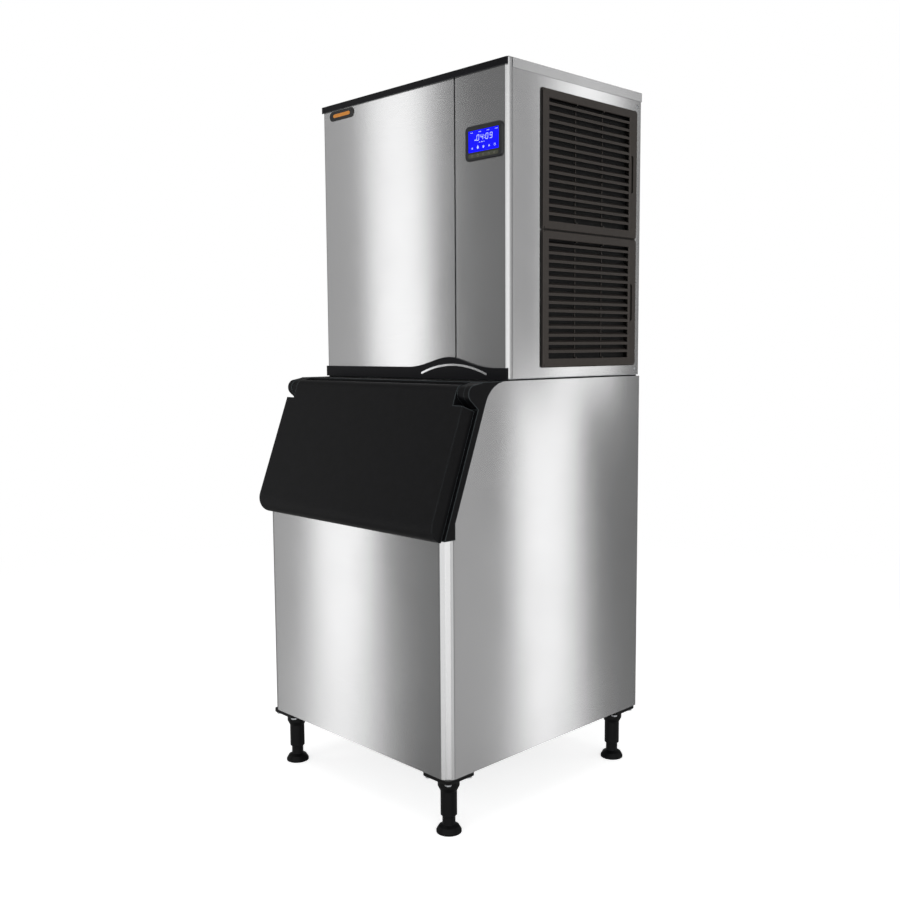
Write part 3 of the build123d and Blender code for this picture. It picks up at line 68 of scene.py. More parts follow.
# %% Colour and node helpers
def linear(code):
    """Turn an sRGB hex code to the linear colour that a shader needs."""
    shares = [int(code[start:start + 2], 16) / 255 for start in (1, 3, 5)]
    lit = [s / 12.92 if s <= 0.04045 else ((s + 0.055) / 1.055) ** 2.4 for s in shares]
    return (*lit, 1.0)


def add_node(tree, kind, settings=None, wires=None):
    """Add one node, with its values by socket or property name and its incoming wires."""
    node = tree.nodes.new(kind)
    for key, value in (settings or {}).items():
        if isinstance(key, int) or key in node.inputs:
            node.inputs[key].default_value = value
        else:
            setattr(node, key, value)
    for key, source in (wires or {}).items():
        tree.links.new(source, node.inputs[key])
    return node


def new_finish(name, constants):
    """Start a finish and return it with its tree and its main shader."""
    finish = bpy.data.materials.new(name)
    finish.use_nodes = True
    tree = finish.node_tree
    shader = tree.nodes["Principled BSDF"]
    for socket, value in constants.items():
        shader.inputs[socket].default_value = value
    return finish, tree, shader


# %% [markdown]
# ## Patterns measured in millimetres
# Every pattern reads the object's own coordinates, which are metres in the frame of the part.
# So a pattern of 9 mm zinc flowers is 9 mm wide on every sheet, and it moves with a sheet that
# swings. The helper stretches the coordinates, so that one unit is one cell of the pattern.

# %% Pattern helpers
def cells(tree, cell_x, cell_y, cell_z):
    """Object coordinates in which one unit is one cell, for a cell size in millimetres."""
    place = add_node(tree, "ShaderNodeTexCoord")
    sizes = [1 / (cell * MM) for cell in (cell_x, cell_y, cell_z)]
    return add_node(
        tree, "ShaderNodeMapping", {"Scale": sizes}, {"Vector": place.outputs["Object"]},
    ).outputs[0]


def noise(tree, vector, detail=2.0, rough=0.5):
    """Soft noise between 0 and 1."""
    return add_node(
        tree, "ShaderNodeTexNoise", {"Scale": 1.0, "Detail": detail, "Roughness": rough},
        {"Vector": vector},
    ).outputs[0]


def span(tree, value, low, high):
    """Carry a pattern from 0-1 to the range low-high."""
    return add_node(
        tree, "ShaderNodeMapRange", {"To Min": low, "To Max": high}, {"Value": value},
    ).outputs[0]


def two_colours(tree, value, dark, light):
    """Blend two hex colours by a pattern."""
    ramp = add_node(tree, "ShaderNodeValToRGB", wires={0: value})
    ramp.color_ramp.elements[0].color = linear(dark)
    ramp.color_ramp.elements[1].color = linear(light)
    return ramp.outputs[0]


def relief(tree, shader, height, depth_mm, strength=1.0):
    """Raise the surface by a pattern whose full height is depth_mm."""
    bump = add_node(
        tree, "ShaderNodeBump", {"Distance": depth_mm * MM, "Strength": strength},
        {"Height": height},
    )
    tree.links.new(bump.outputs[0], shader.inputs["Normal"])


# %% [markdown]
# ## Brushed stainless steel
# The outer sheets are 304 stainless steel with a linear brushed face. Belt grinding leaves fine
# scratches along the sheet, so a reflection stays sharp along them and smears across them. That
# smear turns lamps into the tall soft bands that make steel look like steel. Principled shader
# anisotropy gives the smear, and a stretched noise gives the lines. The real lines are about
# 0.1 mm apart, too fine to show here, so they are drawn 0.7 mm apart and very shallow.

# %% Brushed stainless finishes
BRUSH_LINE_MM = 0.7
BRUSH_LENGTH_MM = 90.0
BRUSH_CLOUD_MM = (160.0, 160.0, 220.0)
BRUSH_SMEAR = 0.88
BRUSH_GLOSS = (0.17, 0.22)
QUARTER_TURN = 0.25


def brushed_stainless(name, line_axis):
    """Brushed steel whose scratches run level on the walls, or along x on the lid."""
    finish, tree, shader = new_finish(name, {"Metallic": 1.0, "Anisotropic": BRUSH_SMEAR})
    lid = line_axis == "x"
    across = BRUSH_LINE_MM if lid else BRUSH_LENGTH_MM
    lines = noise(tree, cells(tree, BRUSH_LENGTH_MM, across, BRUSH_LINE_MM), 3.0, 0.6)
    cloud = noise(tree, cells(tree, *BRUSH_CLOUD_MM))
    tree.links.new(two_colours(tree, lines, "#c3c3c4", "#d2d2d2"), shader.inputs["Base Color"])
    tree.links.new(span(tree, cloud, *BRUSH_GLOSS), shader.inputs["Roughness"])
    grain = add_node(
        tree, "ShaderNodeTangent", {"direction_type": "RADIAL", "axis": "Y" if lid else "Z"},
    )
    tree.links.new(grain.outputs[0], shader.inputs["Tangent"])
    shader.inputs["Anisotropic Rotation"].default_value = QUARTER_TURN
    relief(tree, shader, lines, 0.01, 0.25)
    return finish


brushed_wall = brushed_stainless("stainless_brushed_sheet", "level")
brushed_lid = brushed_stainless("stainless_brushed_lid", "x")
print("made", brushed_wall.name, "and", brushed_lid.name)

# %% [markdown]
# ## Hot-dip galvanised steel
# The floor pan, posts and back sheets are galvanised. Zinc freezes in flat crystals called
# spangle, a few millimetres wide, each a slightly different grey. A Voronoi pattern gives one
# random value to each cell, which shifts both the colour and the gloss, as on the real sheet.

# %% Galvanised finish
SPANGLE_MM = 9.0
SPANGLE_STRETCH = 1.4
ZINC_GLOSS = (0.34, 0.5)


def galvanised_steel():
    """Zinc-coated steel sheet with spangle."""
    finish, tree, shader = new_finish("steel_galvanised", {"Metallic": 1.0})
    flake = add_node(
        tree, "ShaderNodeTexVoronoi", {"Scale": 1.0},
        {"Vector": cells(tree, SPANGLE_MM, SPANGLE_MM, SPANGLE_MM * SPANGLE_STRETCH)},
    )
    grey = add_node(tree, "ShaderNodeSeparateColor", wires={0: flake.outputs["Color"]}).outputs[0]
    tree.links.new(two_colours(tree, grey, "#a3a6a8", "#c6c8ca"), shader.inputs["Base Color"])
    tree.links.new(span(tree, grey, *ZINC_GLOSS), shader.inputs["Roughness"])
    return finish


galvanised = galvanised_steel()
print("made", galvanised.name)

# %% [markdown]
# ## Moulded plastics
# The door and its frame are black ABS from a mould with a spark-eroded grain, which breaks a
# highlight into a soft sheen. The legs are glass-filled nylon, a little smoother. Edges are
# painted lighter: partly the wear of hands and scoops, partly a painted highlight. The bevel node
# rounds the normal near an edge, so where it departs from the true normal, there is an edge. The
# grilles' narrow gaps get painted shade, a near-black colour where the ambient occlusion node
# finds a recess. Clean hygienic parts inside are smoother and unworn. One function makes them
# all. The two pairs of numbers say where the lighter edge and the painted shade start and where
# they are full, on each node's scale.

# %% Moulded finishes
EDGE_WEAR_AND_HIGHLIGHT = (0.985, 0.88)
RECESS_MM = 30.0
RECESS_OPEN = (0.4, 0.85)
SHADE_MM = 25.0


def edges_worn_and_highlit(tree, colour, edge_wear_and_highlight, width_mm):
    """Blend a colour to a lighter one near the edges: partly wear, partly a painted highlight."""
    rounded = add_node(tree, "ShaderNodeBevel", {"samples": 6, "Radius": width_mm * MM})
    true = add_node(tree, "ShaderNodeNewGeometry")
    facing = add_node(
        tree, "ShaderNodeVectorMath", {"operation": "DOT_PRODUCT"},
        {0: rounded.outputs[0], 1: true.outputs["Normal"]},
    )
    worn_and_highlit = add_node(
        tree, "ShaderNodeMapRange", {"From Min": EDGE_WEAR_AND_HIGHLIGHT[0], "From Max": EDGE_WEAR_AND_HIGHLIGHT[1]},
        {"Value": facing.outputs["Value"]},
    )
    blend = add_node(
        tree, "ShaderNodeMix", {"data_type": "RGBA", 7: linear(edge_wear_and_highlight)},
        {0: worn_and_highlit.outputs[0], 6: colour},
    )
    return blend.outputs[2]


def recess_painted_shade(tree, colour, recess_shade):
    """Blend a colour to a dark one in narrow recesses: painted shade."""
    open_share = add_node(
        tree, "ShaderNodeAmbientOcclusion", {"samples": 8, "Distance": RECESS_MM * MM},
    )
    unshaded = add_node(
        tree, "ShaderNodeMapRange", {"From Min": RECESS_OPEN[0], "From Max": RECESS_OPEN[1]},
        {"Value": open_share.outputs["AO"]},
    )
    blend = add_node(
        tree, "ShaderNodeMix", {"data_type": "RGBA", 6: linear(recess_shade)},
        {0: unshaded.outputs[0], 7: colour},
    )
    return blend.outputs[2]


def moulded(
    name, dark, light, gloss, grain_mm, depth_mm, edge_wear_and_highlight=None, wear_and_highlight_mm=4.0, specular=0.5, recess_shade=None,
):
    """Injection-moulded plastic with fine grain and random tone; if asked, edges lighter by wear and
    painted highlight, and painted shade in recesses.
    """
    finish, tree, shader = new_finish(name, {"IOR": 1.5, "Specular IOR Level": specular})
    grain = noise(tree, cells(tree, grain_mm, grain_mm, grain_mm), 3.0, 0.6)
    shade = noise(tree, cells(tree, SHADE_MM, SHADE_MM, SHADE_MM), 8.0, 0.75)
    colour = two_colours(tree, shade, dark, light)
    # Lighter edges: partly handling wear, partly a painted highlight.
    if edge_wear_and_highlight:
        colour = edges_worn_and_highlit(tree, colour, edge_wear_and_highlight, wear_and_highlight_mm)
    # Painted shade: the colour turns near black in narrow recesses.
    if recess_shade:
        colour = recess_painted_shade(tree, colour, recess_shade)
    tree.links.new(colour, shader.inputs["Base Color"])
    tree.links.new(span(tree, grain, gloss - 0.05, gloss + 0.07), shader.inputs["Roughness"])
    relief(tree, shader, grain, depth_mm, 0.5)
    return finish


DARK_SHEEN = 0.13
# The lighter edge colours (#4a5153, #34363a, #2a2b2d, #6a645f) are partly wear and partly a painted
# highlight.
black_abs = moulded(
    "abs_black_grained", "#060607", "#151517", 0.44, 2.4, 0.14, "#4a5153", specular=DARK_SHEEN,
)
black_satin = moulded(
    "abs_black_satin", "#0a0a0d", "#131318", 0.34, 1.2, 0.02, "#34363a", 2.5, DARK_SHEEN,
)
black_nylon = moulded(
    "nylon_black_glass_filled", "#0a0a0b", "#111112", 0.38, 1.4, 0.05, "#2a2b2d", 2.5, DARK_SHEEN,
)
# The louvre's last colour, #070606, is painted shade in the gaps between its slats.
louvre_abs = moulded(
    "abs_louvre_grey", "#3d3835", "#4b4642", 0.46, 1.5, 0.05, "#6a645f", 1.3, 0.2, "#070606",
)
badge_acrylic = moulded("acrylic_black_gloss", "#070707", "#0b0b0b", 0.12, 4.0, 0.005)
bezel_abs = moulded("abs_bezel_dark", "#17181a", "#1e1f22", 0.33, 1.2, 0.03)
key_film = moulded("polyester_key_film", "#3b3c30", "#494a3b", 0.4, 1.4, 0.02)
liner_pe = moulded("polyethylene_liner", "#d5d8da", "#e3e5e6", 0.38, 4.0, 0.03)
door_liner = moulded("abs_door_liner", "#c9cac6", "#d9dad6", 0.35, 2.5, 0.02)
white_abs = moulded("abs_white_food_grade", "#d2d3d1", "#e2e2e0", 0.32, 2.5, 0.02)
grey_abs = moulded("abs_control_grey", "#6f7376", "#7c8083", 0.45, 1.8, 0.04)
print("made the moulded plastics")

# %% [markdown]
# ## Soft, foamed and clear materials
# Rubber is rough and nearly black. Polyurethane foam has cells of about a millimetre, and the
# filter mat an open mesh. The water curtain and the hose are clear, slightly blue plastics, so
# light passes through them: transmission with the typical IOR of each does that.

# %% Rubber, foam, mesh and clear finishes
def foamed(name, dark, light, cell_mm, depth_mm, rough):
    """Foam or mesh with round cells."""
    finish, tree, shader = new_finish(name, {"IOR": 1.5, "Roughness": rough})
    bubble = add_node(
        tree, "ShaderNodeTexVoronoi", {"Scale": 1.0, "feature": "F1"},
        {"Vector": cells(tree, cell_mm, cell_mm, cell_mm)},
    ).outputs["Distance"]
    tree.links.new(two_colours(tree, bubble, light, dark), shader.inputs["Base Color"])
    relief(tree, shader, bubble, depth_mm, 0.7)
    return finish


def clear(name, tint, ior, rough, wall_grain_mm):
    """Clear plastic with a faint flow pattern from moulding."""
    finish, tree, shader = new_finish(
        name, {"IOR": ior, "Transmission Weight": 0.85, "Base Color": linear(tint)},
    )
    flow = noise(tree, cells(tree, wall_grain_mm, wall_grain_mm, wall_grain_mm * 4))
    tree.links.new(span(tree, flow, rough, rough + 0.12), shader.inputs["Roughness"])
    return finish


epdm_rubber = foamed("rubber_epdm_sponge", "#060606", "#101010", 1.5, 0.1, 0.8)
insulation = foamed("polyurethane_foam", "#b79a5c", "#dcc78f", 1.6, 0.4, 0.85)
filter_mesh = foamed("filter_polyester_mesh", "#040404", "#1b1b1b", 2.2, 0.9, 0.75)
curtain_clear = clear("polycarbonate_clear", "#dfeaf0", 1.58, 0.12, 14.0)
hose_clear = clear("vinyl_hose_clear", "#e3ece8", 1.53, 0.2, 9.0)
print("made the soft and clear materials")

# %% [markdown]
# ## Small metals and paints
# Aluminium, copper, nickel and brass each keep their own colour in their reflections, so the
# shader is metallic with that colour. Wear clouds change the gloss. The compressor can is
# painted steel: a thin clear-coated film with a little orange peel, drawn as a shallow bump.

# %% Metal and paint finishes
DRAWN_LINE_MM = 40.0


def worked_metal(name, dark, light, gloss, cloud_mm, line_mm=None):
    """Bare metal, cloudy from handling, with turning or drawing lines if asked."""
    finish, tree, shader = new_finish(name, {"Metallic": 1.0})
    cloud = noise(tree, cells(tree, cloud_mm, cloud_mm, cloud_mm), 4.0, 0.6)
    tree.links.new(two_colours(tree, cloud, dark, light), shader.inputs["Base Color"])
    tree.links.new(span(tree, cloud, gloss - 0.06, gloss + 0.1), shader.inputs["Roughness"])
    if line_mm:
        lines = noise(tree, cells(tree, DRAWN_LINE_MM, DRAWN_LINE_MM, line_mm))
        relief(tree, shader, lines, 0.02, 0.3)
    return finish


def painted(name, dark, light, gloss, peel_mm):
    """Sprayed enamel with orange peel."""
    finish, tree, shader = new_finish(name, {"IOR": 1.5, "Coat Weight": 0.3, "Coat Roughness": 0.15})
    peel = noise(tree, cells(tree, peel_mm, peel_mm, peel_mm), 2.0)
    tree.links.new(two_colours(tree, peel, dark, light), shader.inputs["Base Color"])
    tree.links.new(span(tree, peel, gloss, gloss + 0.08), shader.inputs["Roughness"])
    relief(tree, shader, peel, 0.05, 0.3)
    return finish


aluminium = worked_metal("aluminium_mill_finish", "#b4b7ba", "#cdd0d2", 0.32, 30.0, 0.8)
copper = worked_metal("copper_drawn_tube", "#b06a48", "#d08a62", 0.26, 22.0, 1.2)
nickel = worked_metal("nickel_plated_copper", "#a9a69d", "#c6c3b8", 0.24, 26.0)
brass = worked_metal("brass_turned", "#a88a4c", "#c7a865", 0.28, 12.0, 0.7)
zinc_plate = worked_metal("steel_zinc_plated", "#a7a9ac", "#c4c6c8", 0.28, 8.0)
chrome_strip = worked_metal("aluminium_polished_strip", "#dadbdd", "#eeeeef", 0.14, 40.0)
black_enamel = painted("enamel_black_sprayed", "#0d0e0f", "#141516", 0.28, 3.0)
print("made the metals and the enamel")

# %% [markdown]
# ## The lit screen
# The display is a negative liquid-crystal panel: a deep blue backlight shines through, and the
# signs are clear. Its pixels are finer than the picture can show, so the panel only gets a very
# faint 1.2 mm raster and a slightly uneven backlight, both in the colour of its own light.

# %% Screen finishes
RASTER_MM = 1.2
BACKLIGHT_MM = 45.0
RASTER_SHARE = 0.25


def backlit(name, dark, light, power):
    """Lit panel with a faint raster and an uneven backlight."""
    finish, tree, shader = new_finish(
        name,
        {"IOR": 1.5, "Roughness": 0.2, "Specular IOR Level": 0.15, "Emission Strength": power},
    )
    raster = noise(tree, cells(tree, RASTER_MM, RASTER_MM, RASTER_MM))
    glow = noise(tree, cells(tree, BACKLIGHT_MM, BACKLIGHT_MM, BACKLIGHT_MM))
    both = add_node(
        tree, "ShaderNodeMath", {"operation": "MULTIPLY_ADD", 1: RASTER_SHARE}, {0: raster, 2: glow},
    ).outputs[0]
    colour = two_colours(tree, both, dark, light)
    tree.links.new(colour, shader.inputs["Base Color"])
    tree.links.new(colour, shader.inputs["Emission Color"])
    return finish


screen_blue = backlit("lcd_blue_backlight", "#0300d6", "#1212ff", 0.85)
screen_sign = backlit("lcd_clear_segment", "#8f9cff", "#c9d2ff", 0.75)
amber_print = moulded("ink_amber_screen_print", "#d07a14", "#ee9c2c", 0.3, 1.0, 0.01)
print("made the screen")

# %% [markdown]
# ## Dress the CAD pieces
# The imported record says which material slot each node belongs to. One table from slot to finish
# dresses nearly all of them, and a few nodes need another finish than their slot, such as the
# lid, whose brushing runs the other way.

# %% Assign finishes to the frame
SLOT_FINISH = {
    "stainless_steel": brushed_wall,
    "galvanised_steel": galvanised,
    "black_moulding": black_abs,
    "black_trim": black_satin,
    "door_liner": door_liner,
    "foam": insulation,
    "bin_liner": liner_pe,
    "gasket_rubber": epdm_rubber,
    "steel_fastener": zinc_plate,
    "grille_plastic": louvre_abs,
    "filter_foam": filter_mesh,
    "silver_trim": chrome_strip,
    "badge_blank": badge_acrylic,
    "screen": screen_blue,
    "aluminium": aluminium,
    "copper": copper,
    "black_paint": black_enamel,
    "nickel_plate": nickel,
    "white_plastic": white_abs,
    "clear_curtain": curtain_clear,
    "grey_box": grey_abs,
    "brass_fitting": brass,
    "hose": hose_clear,
}
NODE_FINISH = {
    "top_cover": brushed_lid,
    "display_bezel": bezel_abs,
    "legs": black_nylon,
    "foot_front_left": black_nylon,
    "foot_front_right": black_nylon,
    "foot_rear_left": black_nylon,
    "foot_rear_right": black_nylon,
}


def dress(piece, finish):
    """Give every face of a piece one finish."""
    piece.data.materials.clear()
    piece.data.materials.append(finish)


slot_of = {part["node"]: part["material_slot"] for part in frame["record"]["subparts"]}
for node, piece in frame["nodes"].items():
    dress(piece, NODE_FINISH.get(node, SLOT_FINISH[slot_of[node]]))
print("dressed", len(slot_of), "nodes")

# %% [markdown]
# ## Helpers for added pieces
# Small parts are built with bmesh: plates and swept tubes go into one mesh, so a coil of fifty
# tubes is one piece. Every piece rides on the CAD body that carries it, so it follows a door.

# %% Mesh helpers
def add_plate(mesh, low, high):
    """Add a closed block between two corners."""
    corners = [Vector((x, y, z)) for x in (low[0], high[0]) for y in (low[1], high[1])
               for z in (low[2], high[2])]
    points = [mesh.verts.new(corner) for corner in corners]
    for face in ((0, 1, 3, 2), (4, 6, 7, 5), (0, 4, 5, 1), (2, 3, 7, 6), (0, 2, 6, 4), (1, 5, 7, 3)):
        mesh.faces.new([points[index] for index in face])


def add_tube(mesh, path, radius, sides=12, closed=False):
    """Sweep a round section along a path of points."""
    path = [Vector(point) for point in path]
    count = len(path)
    rings = []
    side = None
    for index, point in enumerate(path):
        before = path[index - 1] if closed or index else point
        after = path[(index + 1) % count] if closed or index < count - 1 else point
        ahead = (after - before).normalized()
        side = ahead.orthogonal() if side is None else side - ahead * side.dot(ahead)
        side.normalize()
        up = ahead.cross(side)
        turns = [2 * math.pi * step / sides for step in range(sides)]
        rings.append([
            mesh.verts.new(point + (side * math.cos(turn) + up * math.sin(turn)) * radius)
            for turn in turns
        ])
    pairs = list(zip(rings, rings[1:])) + ([(rings[-1], rings[0])] if closed else [])
    for one, two in pairs:
        for step in range(sides):
            following = (step + 1) % sides
            mesh.faces.new((one[step], one[following], two[following], two[step]))
    if not closed:
        mesh.faces.new(rings[0][::-1])
        mesh.faces.new(rings[-1])


def add_prism(mesh, outline, axis, low, high):
    """Raise a flat outline, given in the other two axes, from low to high along an axis."""
    def place(point, depth):
        values = list(point)
        values.insert(axis, depth)
        return Vector(values)
    floor = [mesh.verts.new(place(point, low)) for point in outline]
    roof = [mesh.verts.new(place(point, high)) for point in outline]
    mesh.faces.new(floor[::-1])
    mesh.faces.new(roof)
    for index in range(len(outline)):
        following = (index + 1) % len(outline)
        mesh.faces.new((floor[index], floor[following], roof[following], roof[index]))


def finish_piece(name, mesh, finish, body, smooth=False, bevel_mm=0.0):
    """Turn a bmesh into a dressed piece that rides on a body."""
    bmesh.ops.recalc_face_normals(mesh, faces=mesh.faces)
    data = bpy.data.meshes.new(name)
    mesh.to_mesh(data)
    mesh.free()
    piece = bpy.data.objects.new(name, data)
    bpy.context.scene.collection.objects.link(piece)
    data.materials.append(finish)
    for polygon in data.polygons:
        polygon.use_smooth = smooth
    if bevel_mm:
        edge = piece.modifiers.new("edge", "BEVEL")
        edge.width = bevel_mm * MM
        edge.segments = 2
        edge.limit_method = "ANGLE"
    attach(piece, body)
    return piece


def arc_points(centre, radius, start, stop, steps):
    """Points of a flat arc, given in degrees."""
    turns = [math.radians(start + (stop - start) * step / steps) for step in range(steps + 1)]
    return [(centre[0] + radius * math.cos(t), centre[1] + radius * math.sin(t)) for t in turns]


def stadium(centre, length, height, steps=10):
    """Outline with straight sides and half-round ends."""
    reach = (length - height) / 2
    right = arc_points((centre[0] + reach, centre[1]), height / 2, -90, 90, steps)
    left = arc_points((centre[0] - reach, centre[1]), height / 2, 90, 270, steps)
    return right + left


print("mesh helpers are ready")

# %% [markdown]
# ## Signs on the screen
# The screen shows the time in seven-segment digits, with a row of small marks above and a row
# of function signs below. Each segment is a real raised outline, so it stays sharp in any view.
# The signs are plain generic ones: a snow crystal, a drop, a cube, a fan and a clock.

# %% Seven-segment digits
screen_low, screen_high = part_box("display_screen")
sign_back = screen_low[1]
SIGN_PROUD = 0.25 * MM
sign_front = sign_back - SIGN_PROUD
screen_left = screen_low[0]
screen_top = screen_high[2]
DIGIT_HIGH = 13.5 * MM
DIGIT_WIDE = 7.6 * MM
DIGIT_STEP = 14.6 * MM
SEGMENT = 1.35 * MM
DIGIT_LEAN = 0.12
SEGMENTS_LIT = {"0": "abcdef", "4": "bcfg", "9": "abcdfg"}


def bar(start, end, width):
    """Outline of a bar with pointed ends between two points."""
    along = Vector(end) - Vector(start)
    along.normalize()
    across = Vector((-along.y, along.x)) * width / 2
    start, end = Vector(start), Vector(end)
    tip = along * width / 2
    return [
        start, start + tip + across, end - tip + across,
        end, end - tip - across, start + tip - across,
    ]


def digit_bars(left, low, digit):
    """Outlines of a digit's lit segments."""
    half = DIGIT_HIGH / 2
    ends = {
        "a": ((0, 2), (1, 2)), "b": ((1, 2), (1, 1)), "c": ((1, 1), (1, 0)),
        "d": ((0, 0), (1, 0)), "e": ((0, 1), (0, 0)), "f": ((0, 2), (0, 1)),
        "g": ((0, 1), (1, 1)),
    }
    outlines = []
    for letter in SEGMENTS_LIT[digit]:
        places = [
            (left + column * DIGIT_WIDE + row * half * DIGIT_LEAN, low + row * half)
            for column, row in ends[letter]
        ]
        outlines.append(bar(places[0], places[1], SEGMENT))
    return outlines


def raise_signs(mesh, outlines):
    """Raise flat outlines a little in front of the screen."""
    for outline in outlines:
        add_prism(mesh, [(p[0], p[1]) for p in outline], 1, sign_front, sign_back)


COLON_GAP = 3.0 * MM
COLON_BACK = 1.2 * MM
DOT_RADIUS = 1.1 * MM
digits_left = screen_left + 29.0 * MM
digits_low = screen_top - 26.0 * MM
digits = bmesh.new()
for number, digit in enumerate("0409"):
    gap = COLON_GAP if number > 1 else 0.0
    raise_signs(digits, digit_bars(digits_left + number * DIGIT_STEP + gap, digits_low, digit))
colon_x = digits_left + 2 * DIGIT_STEP - COLON_BACK
for share in (0.3, 0.7):
    dot = (colon_x + share * DIGIT_HIGH * DIGIT_LEAN, digits_low + share * DIGIT_HIGH)
    raise_signs(digits, [arc_points(dot, DOT_RADIUS, 0, 315, 7)])
finish_piece("screen_digits", digits, screen_sign, "cabinet")
print("digits stand", round(SIGN_PROUD / MM, 2), "mm proud of the screen")

# %% Small signs
SIGN_LINE = 0.8 * MM
CLOCK_LINE = 0.7 * MM


def ring_outlines(centre, radius, width, parts=16):
    """Ring made of short bars."""
    outer = arc_points(centre, radius, 0, 360, parts)
    return [bar(one, two, width) for one, two in zip(outer, outer[1:])]


def snow_crystal(centre, radius):
    """Three crossing bars."""
    outlines = []
    for turn in range(0, 180, 60):
        ends = arc_points(centre, radius, turn, turn + 180, 1)
        outlines.append(bar(ends[0], ends[1], SIGN_LINE))
    return outlines


def drop(centre, radius):
    """Water drop with a point on top."""
    round_part = arc_points(centre, radius, 150, 390, 12)
    return [[(centre[0], centre[1] + 2.1 * radius)] + round_part]


def cube(centre, radius):
    """Outline of an ice cube in a plain view."""
    corners = arc_points(centre, radius, 30, 390, 6)
    outlines = [bar(one, two, SIGN_LINE) for one, two in zip(corners, corners[1:])]
    outlines += [bar(centre, corners[index], SIGN_LINE) for index in (0, 2, 4)]
    return outlines


def fan_sign(centre, radius):
    """Three round blades about a middle."""
    outlines = []
    for turn in (90, 210, 330):
        middle = arc_points(centre, radius * 0.6, turn, turn + 1, 1)[0]
        outlines.append(arc_points(middle, radius * 0.38, 0, 330, 11))
    return outlines


def clock(centre, radius):
    """Ring with two hands."""
    up = (centre[0], centre[1] + radius * 0.75)
    right = (centre[0] + radius * 0.55, centre[1])
    hands = [bar(centre, up, CLOCK_LINE), bar(centre, right, CLOCK_LINE)]
    return ring_outlines(centre, radius, CLOCK_LINE) + hands


print("the signs are made of bars, rings and drops")

# %% Rows of signs
SIGN_RADIUS = 3.0 * MM
SIGN_STEP = 20.0 * MM
signs_left = screen_left + 13.5 * MM
signs_z = screen_top - 44.0 * MM
signs = bmesh.new()
lower_row = (snow_crystal, drop, cube, fan_sign, clock)
for number, sign in enumerate(lower_row):
    raise_signs(signs, sign((signs_left + number * SIGN_STEP, signs_z), SIGN_RADIUS))

MARK_COUNT = 4
MARK_STEP = 29.0 * MM
DASH_LONG = 2.4 * MM
DASH_STEP = 3.2 * MM
DASH_HEIGHTS = (1.2 * MM, 1.7 * MM, 2.2 * MM)
marks_left = screen_left + 7.0 * MM
marks_z = screen_top - 5.0 * MM
for number in range(MARK_COUNT):
    for step, height in enumerate(DASH_HEIGHTS):
        dash_x = marks_left + number * MARK_STEP + step * DASH_STEP
        raise_signs(signs, [bar((dash_x, marks_z), (dash_x + DASH_LONG, marks_z), height)])

UNIT_LINE = 1.4 * MM
UNIT_DASHES = ((38.0 * MM, 4.0 * MM), (45.0 * MM, 6.0 * MM), (54.0 * MM, 3.0 * MM))
units_z = screen_top - 31.0 * MM
for from_left, wide in UNIT_DASHES:
    start = (screen_left + from_left, units_z)
    raise_signs(signs, [bar(start, (start[0] + wide, units_z), UNIT_LINE)])

PILL_LONG = 5.0 * MM
PILL_HIGH = 2.4 * MM
pill_middle = (screen_left + 24.5 * MM, digits_low + 1.6 * MM)
raise_signs(signs, [stadium(pill_middle, PILL_LONG, PILL_HIGH, 6)])
finish_piece("screen_signs", signs, screen_sign, "cabinet")
print("placed", len(lower_row), "function signs and", MARK_COUNT, "marks")

# %% [markdown]
# ## Key strip and badge bar
# Under the screen lies a strip of printed film with five touch keys. It is a thin rounded plate
# with small printed rings. The badge place keeps its black plate and gets only a plain amber
# bar, printed and slightly raised, so that it is finished but says nothing.

# %% Key strip
STRIP_HIGH = 10.0 * MM
STRIP_PROUD = 0.3 * MM
STRIP_LIFT = 1.0 * MM
bezel_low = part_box("display_bezel")[0]
strip_x = (screen_low[0] + screen_high[0]) / 2
strip_z = (bezel_low[2] + screen_low[2]) / 2 + STRIP_LIFT
strip_middle = (strip_x, strip_z)
strip_long = screen_high[0] - screen_low[0]
strip_face = bezel_low[1] - STRIP_PROUD
strip = bmesh.new()
add_prism(strip, stadium(strip_middle, strip_long, STRIP_HIGH), 1, strip_face, bezel_low[1])
finish_piece("key_strip", strip, key_film, "cabinet", bevel_mm=0.1)

KEY_COUNT = 5
KEY_RADIUS = 2.6 * MM
KEY_LINE = 0.6 * MM
KEY_PROUD = 0.1 * MM
key_step = strip_long / (KEY_COUNT + 0.5)
key_marks = bmesh.new()
for number in range(KEY_COUNT):
    key_x = strip_x + (number - (KEY_COUNT - 1) / 2) * key_step
    for outline in ring_outlines((key_x, strip_z), KEY_RADIUS, KEY_LINE):
        add_prism(key_marks, [(p[0], p[1]) for p in outline], 1, strip_face - KEY_PROUD, strip_face)
key_ink = moulded("ink_grey_screen_print", "#7f8070", "#8f9080", 0.4, 1.0, 0.01)
finish_piece("key_marks", key_marks, key_ink, "cabinet")
print("key strip is", round(strip_long / MM), "mm long")

# %% Badge bar
BAR_LONG_SHARE = 0.68
BAR_HIGH_SHARE = 0.36
BAR_PROUD = 0.4 * MM
badge_low, badge_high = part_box("badge_plate")
badge_middle = ((badge_low[0] + badge_high[0]) / 2, (badge_low[2] + badge_high[2]) / 2)
bar_long = (badge_high[0] - badge_low[0]) * BAR_LONG_SHARE
bar_high = (badge_high[2] - badge_low[2]) * BAR_HIGH_SHARE
bar_outline = stadium(badge_middle, bar_long, bar_high)
bar_mesh = bmesh.new()
add_prism(bar_mesh, bar_outline, 1, badge_low[1] - BAR_PROUD, badge_low[1])
finish_piece("badge_bar", bar_mesh, amber_print, "cabinet", bevel_mm=0.15)
print("badge bar is", round(bar_long / MM), "mm long")

